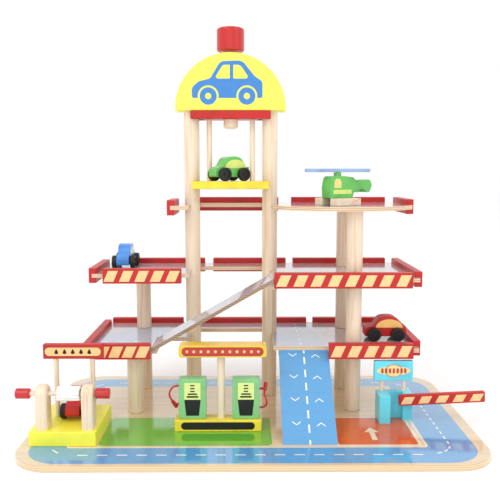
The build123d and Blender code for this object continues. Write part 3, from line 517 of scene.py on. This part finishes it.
# %% The dashed centre line
dash_length, dash_width, dash_pitch = 13 * mm, 2.4 * mm, 24.5 * mm
short_dash, short_pitch = 8 * mm, 16.5 * mm


def join_all(pieces):
    """Joins prints of one ink into one piece."""
    bpy.ops.object.select_all(action="DESELECT")
    for piece in pieces:
        piece.select_set(True)
    bpy.context.view_layer.objects.active = pieces[0]
    bpy.ops.object.join()
    return bpy.context.object


def dash_row(start, end, z, length=dash_length, pitch=dash_pitch):
    """Dashes from one point to another on a floor, at an even pitch."""
    x0, y0 = start
    x1, y1 = end
    run = math.hypot(x1 - x0, y1 - y0)
    turn = math.degrees(math.atan2(y1 - y0, x1 - x0))
    count = int(run / pitch) + 1
    margin = (run - (count - 1) * pitch) / 2
    dashes = []
    for n in range(count):
        t = (margin + n * pitch) / run
        dash = rounded_film(length, dash_width)
        dashes.append(lay_flat(dash, x0 + (x1 - x0) * t, y0 + (y1 - y0) * t, z, turn))
    return dashes


line_z = board_top + 0.06 * mm
front_line, back_line, left_line, right_line = -145 * mm, 136 * mm, -260 * mm, 252.5 * mm
dashes = dash_row((-222 * mm, front_line), (214 * mm, front_line), line_z)
dashes += dash_row((-222 * mm, back_line), (214 * mm, back_line), line_z)
dashes += dash_row((left_line, -108 * mm), (left_line, 104 * mm), line_z)
dashes += dash_row(
    (right_line, -114 * mm), (right_line, 110 * mm), line_z, short_dash, short_pitch
)
corner_dashes = [
    (-249, -134, -45, dash_length), (-249, 125, 45, dash_length), (241, 125, -45, dash_length),
    (232.6, -140.4, 20, short_dash), (243.2, -133.2, 47, short_dash), (250, -124.2, 70, short_dash),
]
for x, y, turn, length in corner_dashes:
    dashes.append(lay_flat(rounded_film(length, dash_width), x * mm, y * mm, line_z, turn))
settle(join_all(dashes), "road_dashes", road_white, "garage")
print("dashes on the road", len(dashes))

# %% Lawn and yard
lawn_field = (-200 * mm, 24.5 * mm, -117 * mm, -20 * mm)
yard_field = (110 * mm, 213.5 * mm, -115 * mm, -22 * mm)
lawn = rounded_field(*lawn_field, 8 * mm)
settle(lawn, "lawn_print", lawn_green, "garage")
yard_edge = rounded_field(*grown(yard_field, 3 * mm), 4 * mm)
settle(yard_edge, "yard_border", border_cream, "garage")
yard = rounded_field(*yard_field, 3 * mm, z=board_top + 0.05 * mm)
settle(yard, "yard_print", yard_orange, "garage")
print("lawn and yard laid")

# %% [markdown]
# The yard carries a plain direction arrow of the kind painted on any car park. It is cut to
# an outline: a flat filled curve gives the shape, and the same extrusion makes it a film.

# %% Arrow on the yard


def cut_film(points, film=print_film):
    """A film cut to an outline given in the X and Y of its own plane."""
    curve = bpy.data.curves.new("outline", "CURVE")
    curve.dimensions = "2D"
    curve.fill_mode = "BOTH"
    spline = curve.splines.new("POLY")
    spline.points.add(len(points) - 1)
    for point, (x, y) in zip(spline.points, points):
        point.co = (x, y, 0, 1)
    spline.use_cyclic_u = True
    piece = bpy.data.objects.new("outline", curve)
    bpy.context.scene.collection.objects.link(piece)
    bpy.ops.object.select_all(action="DESELECT")
    piece.select_set(True)
    bpy.context.view_layer.objects.active = piece
    bpy.ops.object.convert(target="MESH")
    bpy.ops.object.mode_set(mode="EDIT")
    thicken(film)
    bpy.ops.object.mode_set(mode="OBJECT")
    return piece


arrow = cut_film([
    (-3.5 * mm, -22 * mm), (3.5 * mm, -22 * mm), (3.5 * mm, 4 * mm), (10 * mm, 4 * mm),
    (0, 20 * mm), (-10 * mm, 4 * mm), (-3.5 * mm, 4 * mm),
])
lay_flat(arrow, 160 * mm, -78 * mm, board_top + 0.1 * mm)
settle(arrow, "yard_arrow", border_cream, "garage")
print("arrow faces", len(arrow.data.polygons))

# %% [markdown]
# ## Stripes on the front rails and the barrier
# Cream parallelograms are printed on the red faces. Each is a plane that is sheared in edit
# mode by moving its upper edge sideways, then extruded into a film.

# %% One slanted stripe


def stripe(width, height, slant):
    """A parallelogram film whose upper edge is moved to the right."""
    piece = plane_at(width, height)
    bpy.ops.object.mode_set(mode="EDIT")
    bpy.ops.mesh.select_all(action="DESELECT")
    bpy.ops.object.mode_set(mode="OBJECT")
    for vertex in piece.data.vertices:
        vertex.select = vertex.co.y > 0
    bpy.ops.object.mode_set(mode="EDIT")
    bpy.ops.transform.translate(value=(slant, 0, 0))
    bpy.ops.mesh.select_all(action="SELECT")
    bpy.ops.transform.translate(value=(-slant / 2, 0, 0))
    thicken(print_film)
    bpy.ops.object.mode_set(mode="OBJECT")
    return piece


print("stripe helper ready")

# %% Stripes on the rails
rail_stripe = (14.5 * mm, 16 * mm, 7 * mm)
# left end, right end and front face in mm, the deck's top, and how many stripes
striped_rails = [
    (-221, -145.5, -22, first_top, 4), (109, 226.5, -22, first_top, 5),
    (-218.5, -105.5, 27, second_top, 5), (31.5, 224.5, -16, second_top, 8),
]


def stand_facing_front(piece, x, y, z, tilt=0.0):
    """Puts a film on an upright face that looks towards -Y, tilted in its own plane."""
    upright = Matrix.Rotation(math.radians(90), 4, "X")
    lean = Matrix.Rotation(math.radians(-tilt), 4, "Y")
    piece.matrix_world = Matrix.Translation((x, y, z)) @ lean @ upright
    return piece


rail_stripes = []
for x0, x1, y, deck_top, count in striped_rails:
    for n in range(count):
        x = x0 + (x1 - x0) * (n + 0.5) / count
        one = stripe(*rail_stripe)
        rail_stripes.append(stand_facing_front(one, x * mm, y * mm, deck_top - 3 * mm))
settle(join_all(rail_stripes), "rail_stripes", stripe_cream, "garage")
print("stripes on the rails", len(rail_stripes))

# %% [markdown]
# The barrier carries five stripes of the same kind, a little lower. They are laid out flat
# along the arm from its pivot, then stood up and leaned like the arm.

# %% Stripes on the barrier
barrier_pivot = (216 * mm, 40 * mm)
barrier_lean = 2.6
barrier_tail, barrier_length = 11.5, 120.0
barrier_count = 5


def one_sheet(pieces):
    """Joins prints that were placed on one flat sheet, and leaves the sheet at the origin."""
    sheet = join_all(pieces)
    bpy.ops.object.transform_apply(location=True, rotation=True, scale=True)
    return sheet


def at(piece, x, y, turn=0.0):
    """Puts a film at a place on its flat sheet, given in mm."""
    return lay_flat(piece, x * mm, y * mm, 0, turn)


barrier_stripes = []
for n in range(barrier_count):
    place = barrier_length * (n + 0.5) / barrier_count - barrier_tail
    barrier_stripes.append(at(stripe(14.5 * mm, 10 * mm, 5.5 * mm), place, 0))
pivot_x, pivot_z = barrier_pivot
arm_print = stand_facing_front(
    one_sheet(barrier_stripes), pivot_x, low("barrier_arm", "Y"), pivot_z, barrier_lean
)
settle(arm_print, "barrier_stripes", stripe_cream, "barrier")
print("stripes on the barrier", len(barrier_stripes))

# %% [markdown]
# ## Prints on the ramp and the first deck
# The ramp's blue face has a dashed middle line, and chevrons that point down on its left
# lane and up on its right. They are laid out on a flat sheet as long as the slope, which is
# then tilted on to it. On the first deck the road goes on in a greyer blue.

# %% Lines and chevrons on the front ramp
ramp_x = (low("front_ramp", "X") + high("front_ramp", "X")) / 2
ramp_foot = (low("front_ramp", "Y"), board_top)
ramp_rise = high("front_ramp", "Z") - board_top
ramp_head = -2 * mm
ramp_run = ramp_head - ramp_foot[0]
ramp_angle = math.atan2(ramp_rise, ramp_run)
ramp_length = math.hypot(ramp_rise, ramp_run) / mm


def chevron(reach, rise, width):
    """An open arrow head that points to +Y."""
    return cut_film([
        (-reach * mm, -width * mm), (0, (rise - width) * mm), (reach * mm, -width * mm),
        (reach * mm, 0), (0, rise * mm), (-reach * mm, 0),
    ])


# length and place up the slope of each dash of the middle line, in mm
ramp_dashes = [(12, 22.5 + 21.2 * n) for n in range(6)] + [(6, 3.4), (5, ramp_length - 3.2)]
lane_middle, chevron_pitch = 16.2, 36
ramp_marks = [at(rounded_film(dash_width, length * mm), 0, y) for length, y in ramp_dashes]
for n in range(4):
    ramp_marks.append(at(chevron(5.8, 4.6, 1.6), -lane_middle, 32 + chevron_pitch * n, 180))
    ramp_marks.append(at(chevron(5.8, 4.6, 1.6), lane_middle, 27 + chevron_pitch * n))
ramp_print = one_sheet(ramp_marks)
ramp_print.matrix_world = (
    Matrix.Translation((ramp_x, *ramp_foot)) @ Matrix.Rotation(ramp_angle, 4, "X")
)
settle(ramp_print, "ramp_lines", ramp_white, "garage")
print("ramp length", round(ramp_length, 1), "mm, marks", len(ramp_marks))

# %% [markdown]
# The road on the deck bends, so its outline needs rounded corners of its own radii. A helper
# puts an arc of the given radius at each corner, and the signs, the tower's picture and the
# windows use it too.

# %% Road on the first deck


def round_corners(corners):
    """Outline points from (x, y, radius) corners in mm, with an arc at each rounded corner."""
    points = []
    for n, (x, y, radius) in enumerate(corners):
        here = Vector((x, y))
        before = (Vector(corners[n - 1][:2]) - here).normalized()
        after = (Vector(corners[(n + 1) % len(corners)][:2]) - here).normalized()
        half_angle = before.angle(after) / 2
        if not radius:
            points.append(here * mm)
            continue
        centre = here + (before + after).normalized() * radius / math.sin(half_angle)
        first = here + before * radius / math.tan(half_angle) - centre
        last = here + after * radius / math.tan(half_angle) - centre
        sweep, steps = first.angle_signed(last), 8
        for step in range(steps + 1):
            spoke = Matrix.Rotation(-sweep * step / steps, 2) @ first
            points.append((centre + spoke) * mm)
    return [(point.x, point.y) for point in points]


deck_road_right = cut_film(round_corners([
    (33, -1.2, 0), (108, -1.2, 0), (104, 30, 60), (88, 146, 0), (33, 146, 0),
]))
lay_flat(deck_road_right, 0, 0, first_top)
deck_road_left = cut_film(round_corners([
    (-231, -10, 6), (-148, -10, 6), (-148, 52, 10), (-112, 56, 16), (-104, 118, 16),
    (-178, 112, 40), (-231, 60, 30),
]))
lay_flat(deck_road_left, 0, 0, first_top)
settle(join_all([deck_road_right, deck_road_left]), "deck_road_print", deck_road, "garage")
# X and Y in mm of each dash, and its turn
deck_dash_places = [(70.5, 12 + 24.5 * n, 90) for n in range(6)]
deck_dash_places += [(-218 + 24.5 * n, 24, 0) for n in range(3)]
deck_dashes = [
    lay_flat(rounded_film(11 * mm, 1.8 * mm), x * mm, y * mm, first_top + 0.06 * mm, turn)
    for x, y, turn in deck_dash_places
]
settle(join_all(deck_dashes), "deck_road_dashes", road_white, "garage")
print("dashes on the first deck", len(deck_dashes))

# %% [markdown]
# ## Signs
# Each sign is a block with a printed panel: an outline, a panel of its own colour, and a
# plain row of drops, dots or bars. The films lie on each other, the larger ones lowest, so
# each is a little thicker than the one below it.

# %% Sign over the car wash


def stadium(length, height, film):
    """A film with half-round ends, its length and height in mm."""
    return rounded_film(length * mm, height * mm, 0.499 * height * mm, film=film)


def face_front(piece, node, x, z, material, name):
    """Stands a sheet of prints on a node's front face."""
    stand_facing_front(piece, x * mm, low(node, "Y"), z * mm)
    return settle(piece, name, material, "garage")


wash_sign = ("wash_sign", -241, 118)
face_front(stadium(76.4, 13.0, 0.08 * mm), *wash_sign, ink_black, "wash_sign_line")
face_front(stadium(75.0, 11.6, 0.16 * mm), *wash_sign, sign_peach, "wash_sign_panel")
drop_shape = round_corners([
    (0, 4.2, 0.3), (-2.6, -0.6, 1.2), (-2.4, -3.2, 2.2), (2.4, -3.2, 2.2), (2.6, -0.6, 1.2),
])
drops = [at(cut_film(drop_shape, 0.24 * mm), 11 * n, 0) for n in range(-2, 3)]
face_front(one_sheet(drops), *wash_sign, ink_black, "wash_sign_drops")
print("wash sign drops", len(drops))

# %% Sign over the petrol station


def disc_film(radius, film=print_film, stretch=1.0):
    """A round film, or an oval one where its width is stretched."""
    bpy.ops.object.select_all(action="DESELECT")
    bpy.ops.mesh.primitive_circle_add(vertices=48, radius=radius, fill_type="NGON")
    piece = bpy.context.object
    piece.scale.x = stretch
    bpy.ops.object.transform_apply(location=False, rotation=False, scale=True)
    bpy.ops.object.mode_set(mode="EDIT")
    thicken(film)
    bpy.ops.object.mode_set(mode="OBJECT")
    return piece


petrol_sign = ("petrol_sign", -40.5, 119)
face_front(stadium(109.0, 11.8, 0.08 * mm), *petrol_sign, ink_black, "petrol_sign_line")
face_front(stadium(107.6, 10.4, 0.16 * mm), *petrol_sign, sign_red, "petrol_sign_panel")
dots = [at(disc_film(1.9 * mm, 0.24 * mm), 9.6 * n, 0) for n in range(-4, 5)]
for x in (-47.5, 47.5):
    dots.append(at(rounded_film(3.0 * mm, 3.0 * mm, film=0.24 * mm), x, 0, 45))
face_front(one_sheet(dots), *petrol_sign, stripe_cream, "petrol_sign_dots")
plinth_panel = stadium(99.5, 10.4, print_film)
face_front(plinth_panel, "petrol_plinth", -47.25, 16.2, ink_black, "plinth_panel")
print("petrol sign dots", len(dots))

# %% Sign over the booth
booth_sign = ("booth_sign", 200, 77)
bar_size = (3.2 * mm, 7.0 * mm, 0.8 * mm, 0.24 * mm)
face_front(disc_film(6.6 * mm, 0.08 * mm, 3.6), *booth_sign, sign_cream, "booth_sign_halo")
face_front(disc_film(9.3 * mm, 0.12 * mm, 1.36), *booth_sign, sign_red, "booth_sign_line")
face_front(disc_film(8.5 * mm, 0.18 * mm, 1.38), *booth_sign, sign_cream, "booth_sign_oval")
bars = [at(rounded_film(*bar_size), 5.4 * n, 0) for n in range(-3, 4)]
face_front(one_sheet(bars), *booth_sign, sign_red, "booth_sign_bars")
print("booth sign bars", len(bars))

# %% [markdown]
# ## Pump fronts
# Each pump has a pale panel with three short and two long bars, and a black field below it
# that narrows downwards. All of it is drawn on one flat sheet per ink, for both pumps.

# %% Print the pump fronts
pump_centres = (-81.7, -9.5)
pump_top = high("petrol_pumps", "Z") / mm
mark_film = 0.2 * mm
field_shape = round_corners([
    (-11.0, 0, 0.8), (11.0, 0, 0.8), (8.6, -22.4, 1.0), (-8.6, -22.4, 1.0),
])
panels, bars = [], []
for x in pump_centres:
    panel = rounded_film(21.8 * mm, 23.6 * mm, 0.6 * mm)
    panels.append(at(panel, x, pump_top - 17.2))
    for drop in (9.0, 13.0, 17.0):
        bars.append(at(rounded_film(6.0 * mm, 1.7 * mm, film=mark_film), x, pump_top - drop))
    bars.append(at(stadium(13.2, 2.1, mark_film), x, pump_top - 20.8))
    bars.append(at(stadium(16.0, 2.4, mark_film), x, pump_top - 24.6))
    bars.append(at(cut_film(field_shape, mark_film), x, pump_top - 28.6))
face_front(one_sheet(panels), "petrol_pumps", 0, 0, pale_panel, "pump_panels")
face_front(one_sheet(bars), "petrol_pumps", 0, 0, ink_black, "pump_marks")
print("pump panels", len(panels), "marks", len(bars))

# %% [markdown]
# ## Picture on the tower
# The half-round panel on the tower carries a plain printed car, seen from the side: a body,
# two windows and two wheels with hubs, each a film that lies on the last one.

# %% A car on the tower's front panel
picture = ("dome_front_panel", -36.8, low("dome_front_panel", "Z") / mm + 8)
picture_body = [
    (-52, 10, 3), (-52, 25, 8), (-42, 34, 10), (-25, 38, 8), (-10, 63, 12), (22, 64, 14),
    (41, 41, 12), (52, 34, 8), (52, 10, 3),
]
picture_windows = [
    [(-19, 38, 3), (-6.5, 57.5, 6), (4, 58, 1.5), (4, 38, 1.5)],
    [(9, 38, 1.5), (9, 58, 1.5), (19.5, 57.5, 8), (33, 38, 3)],
]
wheel_places = [(-28, 12.8), (29, 12.8)]
body_film = cut_film(round_corners(picture_body), 0.1 * mm)
face_front(body_film, *picture, picture_blue, "picture_car")
light = [cut_film(round_corners(outline), 0.16 * mm) for outline in picture_windows]
light += [at(disc_film(15.4 * mm, 0.16 * mm), *place) for place in wheel_places]
face_front(one_sheet(light), *picture, picture_lemon, "picture_windows")
wheels = [at(disc_film(12.6 * mm, 0.22 * mm), *place) for place in wheel_places]
face_front(one_sheet(wheels), *picture, picture_blue, "picture_wheels")
hubs = [at(disc_film(4.6 * mm, 0.28 * mm), *place) for place in wheel_places]
face_front(one_sheet(hubs), *picture, picture_lemon, "picture_hubs")
print("picture faces", len(body_film.data.polygons))

# %% [markdown]
# ## Windows on the cars and the helicopter
# The toy cars have one window printed on each side, flat below and round above. The film is
# drawn for the side that faces -Y of a toy at the origin. For the other side its outline is
# mirrored, and the film is turned half round.

# %% Prints on both sides of a toy


def side_film(outline, side):
    """A film for one side of a toy; side is -1 for the side to -Y and 1 for the other."""
    if side > 0:
        outline = [(-x, y, r) for x, y, r in reversed(outline)]
    return cut_film(round_corners(outline))


def on_side(piece, place, heading, half_width, side):
    """Stands a film on one side of a toy that stands at a place and heading."""
    spot = Matrix.Translation(place) @ Matrix.Rotation(math.radians(heading), 4, "Z")
    turn = Matrix.Rotation(math.radians(180 if side > 0 else 0), 4, "Z")
    upright = Matrix.Translation((0, -half_width, 0)) @ Matrix.Rotation(math.radians(90), 4, "X")
    piece.matrix_world = spot @ turn @ upright
    return piece


print("side helpers ready")

# %% Car windows
window_middle, window_sill, window_reach, window_rise = -5.5, 19.4, 19.8, 12.4
arc_steps = 24
car_window = []
for n in range(arc_steps + 1):
    angle = math.radians(180 * n / arc_steps)
    x = window_middle + window_reach * math.cos(angle)
    car_window.append((x, window_sill + window_rise * math.sin(angle), 0))
car_half_width = 9.5 * mm
# name, place of its middle on its floor in mm, heading, and the ink of its windows
cars = [
    ("red_car", (197.5, 38.0, 108.15), 180, window_orange),
    ("blue_car", (-198.5, 105.5, 208.15), 270, window_sky),
    ("wash_car", (-240.5, -51.0, 27.15), 270, window_orange),
    ("green_car", (-34.6, 74.5, 343.15), 218, window_lime),
]
for name, place, heading, glass in cars:
    place = [v * mm for v in place]
    both = []
    for side in (-1, 1):
        film = on_side(side_film(car_window, side), place, heading, car_half_width, side)
        both.append(film)
    settle(join_all(both), name + "_windows", glass, name)
print("cars with windows", len(cars))

# %% Window and stripe on the helicopter
heli_place = (125 * mm, 45 * mm, low("heli_body", "Z"))
heli_heading, heli_half_width = 35, 10 * mm
heli_window = [(-15, 15, 0.6), (-15, 28.4, 6.4), (-1.2, 28.4, 6.4), (-1.2, 15, 0.6)]
heli_stripe = [(-16.6, 6.2, 0.4), (-16.6, 12.2, 0.4), (19.4, 12.2, 0.4), (19.4, 6.2, 0.4)]
heli_prints = [
    (heli_window, window_cream, "heli_windows"), (heli_stripe, window_lime, "heli_stripes"),
]
for outline, colour, label in heli_prints:
    both = []
    for side in (-1, 1):
        film = side_film(outline, side)
        both.append(on_side(film, heli_place, heli_heading, heli_half_width, side))
    settle(join_all(both), label, colour, "helicopter")
print("helicopter prints on both sides")

# %% [markdown]
# ## Felt roll of the car wash
# The brush is a strip of white felt, gathered round the rod. Felt is matt, with a short nap
# that catches light at its edge, so its material has no gloss and a little sheen.

# %% Felt
nap_size = 0.8 * mm
felt, felt_tree, felt_shader = new_material(
    "white_felt", Roughness=0.95, Sheen_Weight=0.6, Sheen_Roughness=0.5
)
felt_where = add(felt_tree, "ShaderNodeTexCoord").outputs["Object"]
nap = add(
    felt_tree, "ShaderNodeTexNoise", {"Scale": 1 / nap_size, "Detail": 6.0},
    {"Vector": felt_where},
)
felt_tone = ramp(felt_tree, nap.outputs["Fac"], [(0.35, "#E9E7E3"), (0.6, "#FAF9F6")])
felt_tree.links.new(felt_tone, felt_shader.inputs["Base Color"])
nap_bump = add(
    felt_tree, "ShaderNodeBump", {"Strength": 0.5, "Distance": 0.15 * mm},
    {"Height": nap.outputs["Fac"]},
)
felt_tree.links.new(nap_bump.outputs["Normal"], felt_shader.inputs["Normal"])
print("felt ready")

# %% [markdown]
# The roll starts as an open tube whose vertices are moved into eleven folds, deeper at both
# ends, where the felt is drawn in to the rod. Solidify gives it the felt's thickness.

# %% Gather the felt round the rod
rod_y, rod_z = -101.5 * mm, 72.5 * mm
felt_left, felt_right = low("wash_brush", "X"), high("wash_brush", "X")
felt_folds, around, along = 11, 176, 30
felt_thickness = 0.9 * mm


def felt_radius(angle, share):
    """Distance of the felt from the rod's middle; share runs from 0 to 1 along the rod."""
    end = abs(2 * share - 1) ** 4
    base = (8.3 - 1.7 * end) * mm
    depth = (0.75 + 1.7 * end) * mm
    wander = 0.5 * math.sin(3.1 * share + 1.7) + 0.25 * math.sin(2 * angle + 5 * share)
    uneven = 0.22 * mm * math.sin(5 * angle + 7 * share)
    return base + depth * math.cos(felt_folds * angle + wander) + uneven


bpy.ops.object.select_all(action="DESELECT")
bpy.ops.mesh.primitive_cylinder_add(
    vertices=around, radius=1.0, depth=1.0, end_fill_type="NOTHING",
    rotation=(0, math.radians(90), 0),
)
brush = bpy.context.object
bpy.ops.object.transform_apply(location=False, rotation=True, scale=False)
bpy.ops.object.mode_set(mode="EDIT")
lengthways = bmesh.from_edit_mesh(brush.data)
runs = [edge for edge in lengthways.edges if abs(edge.verts[0].co.x - edge.verts[1].co.x) > 0.5]
bmesh.ops.subdivide_edges(lengthways, edges=runs, cuts=along)
bmesh.update_edit_mesh(brush.data)
bpy.ops.object.mode_set(mode="OBJECT")
for vertex in brush.data.vertices:
    share = vertex.co.x + 0.5
    angle = math.atan2(vertex.co.z, vertex.co.y)
    radius = felt_radius(angle, share)
    vertex.co = (
        felt_left + share * (felt_right - felt_left),
        rod_y + radius * math.cos(angle),
        rod_z + radius * math.sin(angle),
    )
thickness = brush.modifiers.new("felt", "SOLIDIFY")
thickness.thickness = felt_thickness
thickness.offset = 0.0
bpy.ops.object.modifier_apply(modifier=thickness.name)
bpy.ops.object.shade_smooth()
settle(brush, "felt_roll", felt, "brush")
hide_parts("wash_brush")

# %% [markdown]
# ## Petrol hoses
# Each hose is a soft red tube from a hole in the pump's side to its nozzle. Its points are
# the ones that the solid model uses, as control points of one smooth curve.

# %% Hoses
hose_red = enamel("hose_red", "#C9281F", gloss=0.5, coat=0.1)
hose_diameter = 2.6 * mm
# length along the hose, and its route
hoses = {
    "left": (30.9 * mm, [
        (-100.2, -58.5, 68.5), (-106.2, -58.5, 68.5), (-112.4, -60, 63), (-114.2, -60.5, 54.5),
        (-109.8, -59, 47.2),
    ]),
    "right": (32.5 * mm, [
        (9, -58.5, 37.5), (14.5, -58.5, 37.5), (19, -61, 42.5), (18.5, -63, 50), (15, -60, 56),
        (16, -59, 61.5),
    ]),
}


def hose(name, route):
    """A round tube along one smooth curve through a hose's route."""
    curve = bpy.data.curves.new(name, "CURVE")
    curve.dimensions = "3D"
    curve.bevel_depth = hose_diameter / 2
    curve.bevel_resolution = 6
    curve.resolution_u = 16
    curve.use_fill_caps = True
    spline = curve.splines.new("NURBS")
    spline.points.add(len(route) - 1)
    for point, (x, y, z) in zip(spline.points, route):
        point.co = (x * mm, y * mm, z * mm, 1)
    spline.order_u = 3
    spline.use_endpoint_u = True
    tube = bpy.data.objects.new(name, curve)
    bpy.context.scene.collection.objects.link(tube)
    curve.materials.append(hose_red)
    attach(tube, "garage")
    return tube


for side, (length, route) in hoses.items():
    tube = hose(side + "_petrol_hose", route)
    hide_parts(side + "_hose")
print("hoses", list(hoses))

# %% [markdown]
# ## Light, floor and camera
# The set stands on white paper in soft, even light from large lamps. The camera stands
# about a metre in front of the board, a little above its middle, and looks slightly down.

# %% Studio
bpy.ops.object.select_all(action="DESELECT")
bpy.ops.mesh.primitive_plane_add(size=12.0, location=(0, 0, -0.2 * mm))
floor = bpy.context.object
floor.name = "studio_floor"
paper, _, paper_shader = new_material("studio_paper", Roughness=0.9)
paper_shader.inputs["Base Color"].default_value = paint_chart("#FFFFFF")
floor.data.materials.append(paper)
floor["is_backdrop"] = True

world = bpy.data.worlds.new("studio_world")
bpy.context.scene.world = world
world.use_nodes = True
sky = world.node_tree.nodes["Background"]
sky.inputs["Color"].default_value = (1, 1, 1, 1)
sky.inputs["Strength"].default_value = 1.0


def soft_lamp(name, place, target, size, power):
    """A square area lamp that looks at a point."""
    lamp = bpy.data.lights.new(name, "AREA")
    lamp.shape = "SQUARE"
    lamp.size = size
    lamp.energy = power
    holder = bpy.data.objects.new(name, lamp)
    bpy.context.scene.collection.objects.link(holder)
    holder.location = place
    holder.rotation_euler = (Vector(target) - Vector(place)).to_track_quat("-Z", "Y").to_euler()
    return holder


soft_lamp("lamp_above_left", (-1.1, -1.2, 1.7), (0, 0, 0.2), 1.0, 9.0)
soft_lamp("lamp_above_right", (1.3, -0.9, 1.4), (0, 0, 0.2), 1.0, 5.0)
soft_lamp("lamp_low_front", (-0.2, -1.9, 0.35), (0, 0, 0.1), 1.4, 3.0)

# %% Camera
sensor_width, picture_pixels, focal_pixels = 36.0, 500.0, 660.659
looks_down, turned_right = 6.783, 0.374
camera_data = bpy.data.cameras.new("camera")
camera_data.sensor_width = sensor_width
camera_data.lens = focal_pixels * sensor_width / picture_pixels
camera_data.clip_end = 50.0
camera = bpy.data.objects.new("camera", camera_data)
bpy.context.scene.collection.objects.link(camera)
camera.location = (-9.652 * mm, -929.122 * mm, 357.435 * mm)
camera.rotation_euler = (math.radians(90 - looks_down), 0, math.radians(-turned_right))
bpy.context.scene.camera = camera
bpy.context.scene.view_settings.view_transform = "Standard"
print("lens mm", round(camera_data.lens, 2))

# %% Sizes of the frame and of the dressed scene
boxes = {"cad": cad_bounds, "visual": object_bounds()}
boxes = {name: [[round(v, 6) for v in corner] for corner in pair] for name, pair in boxes.items()}
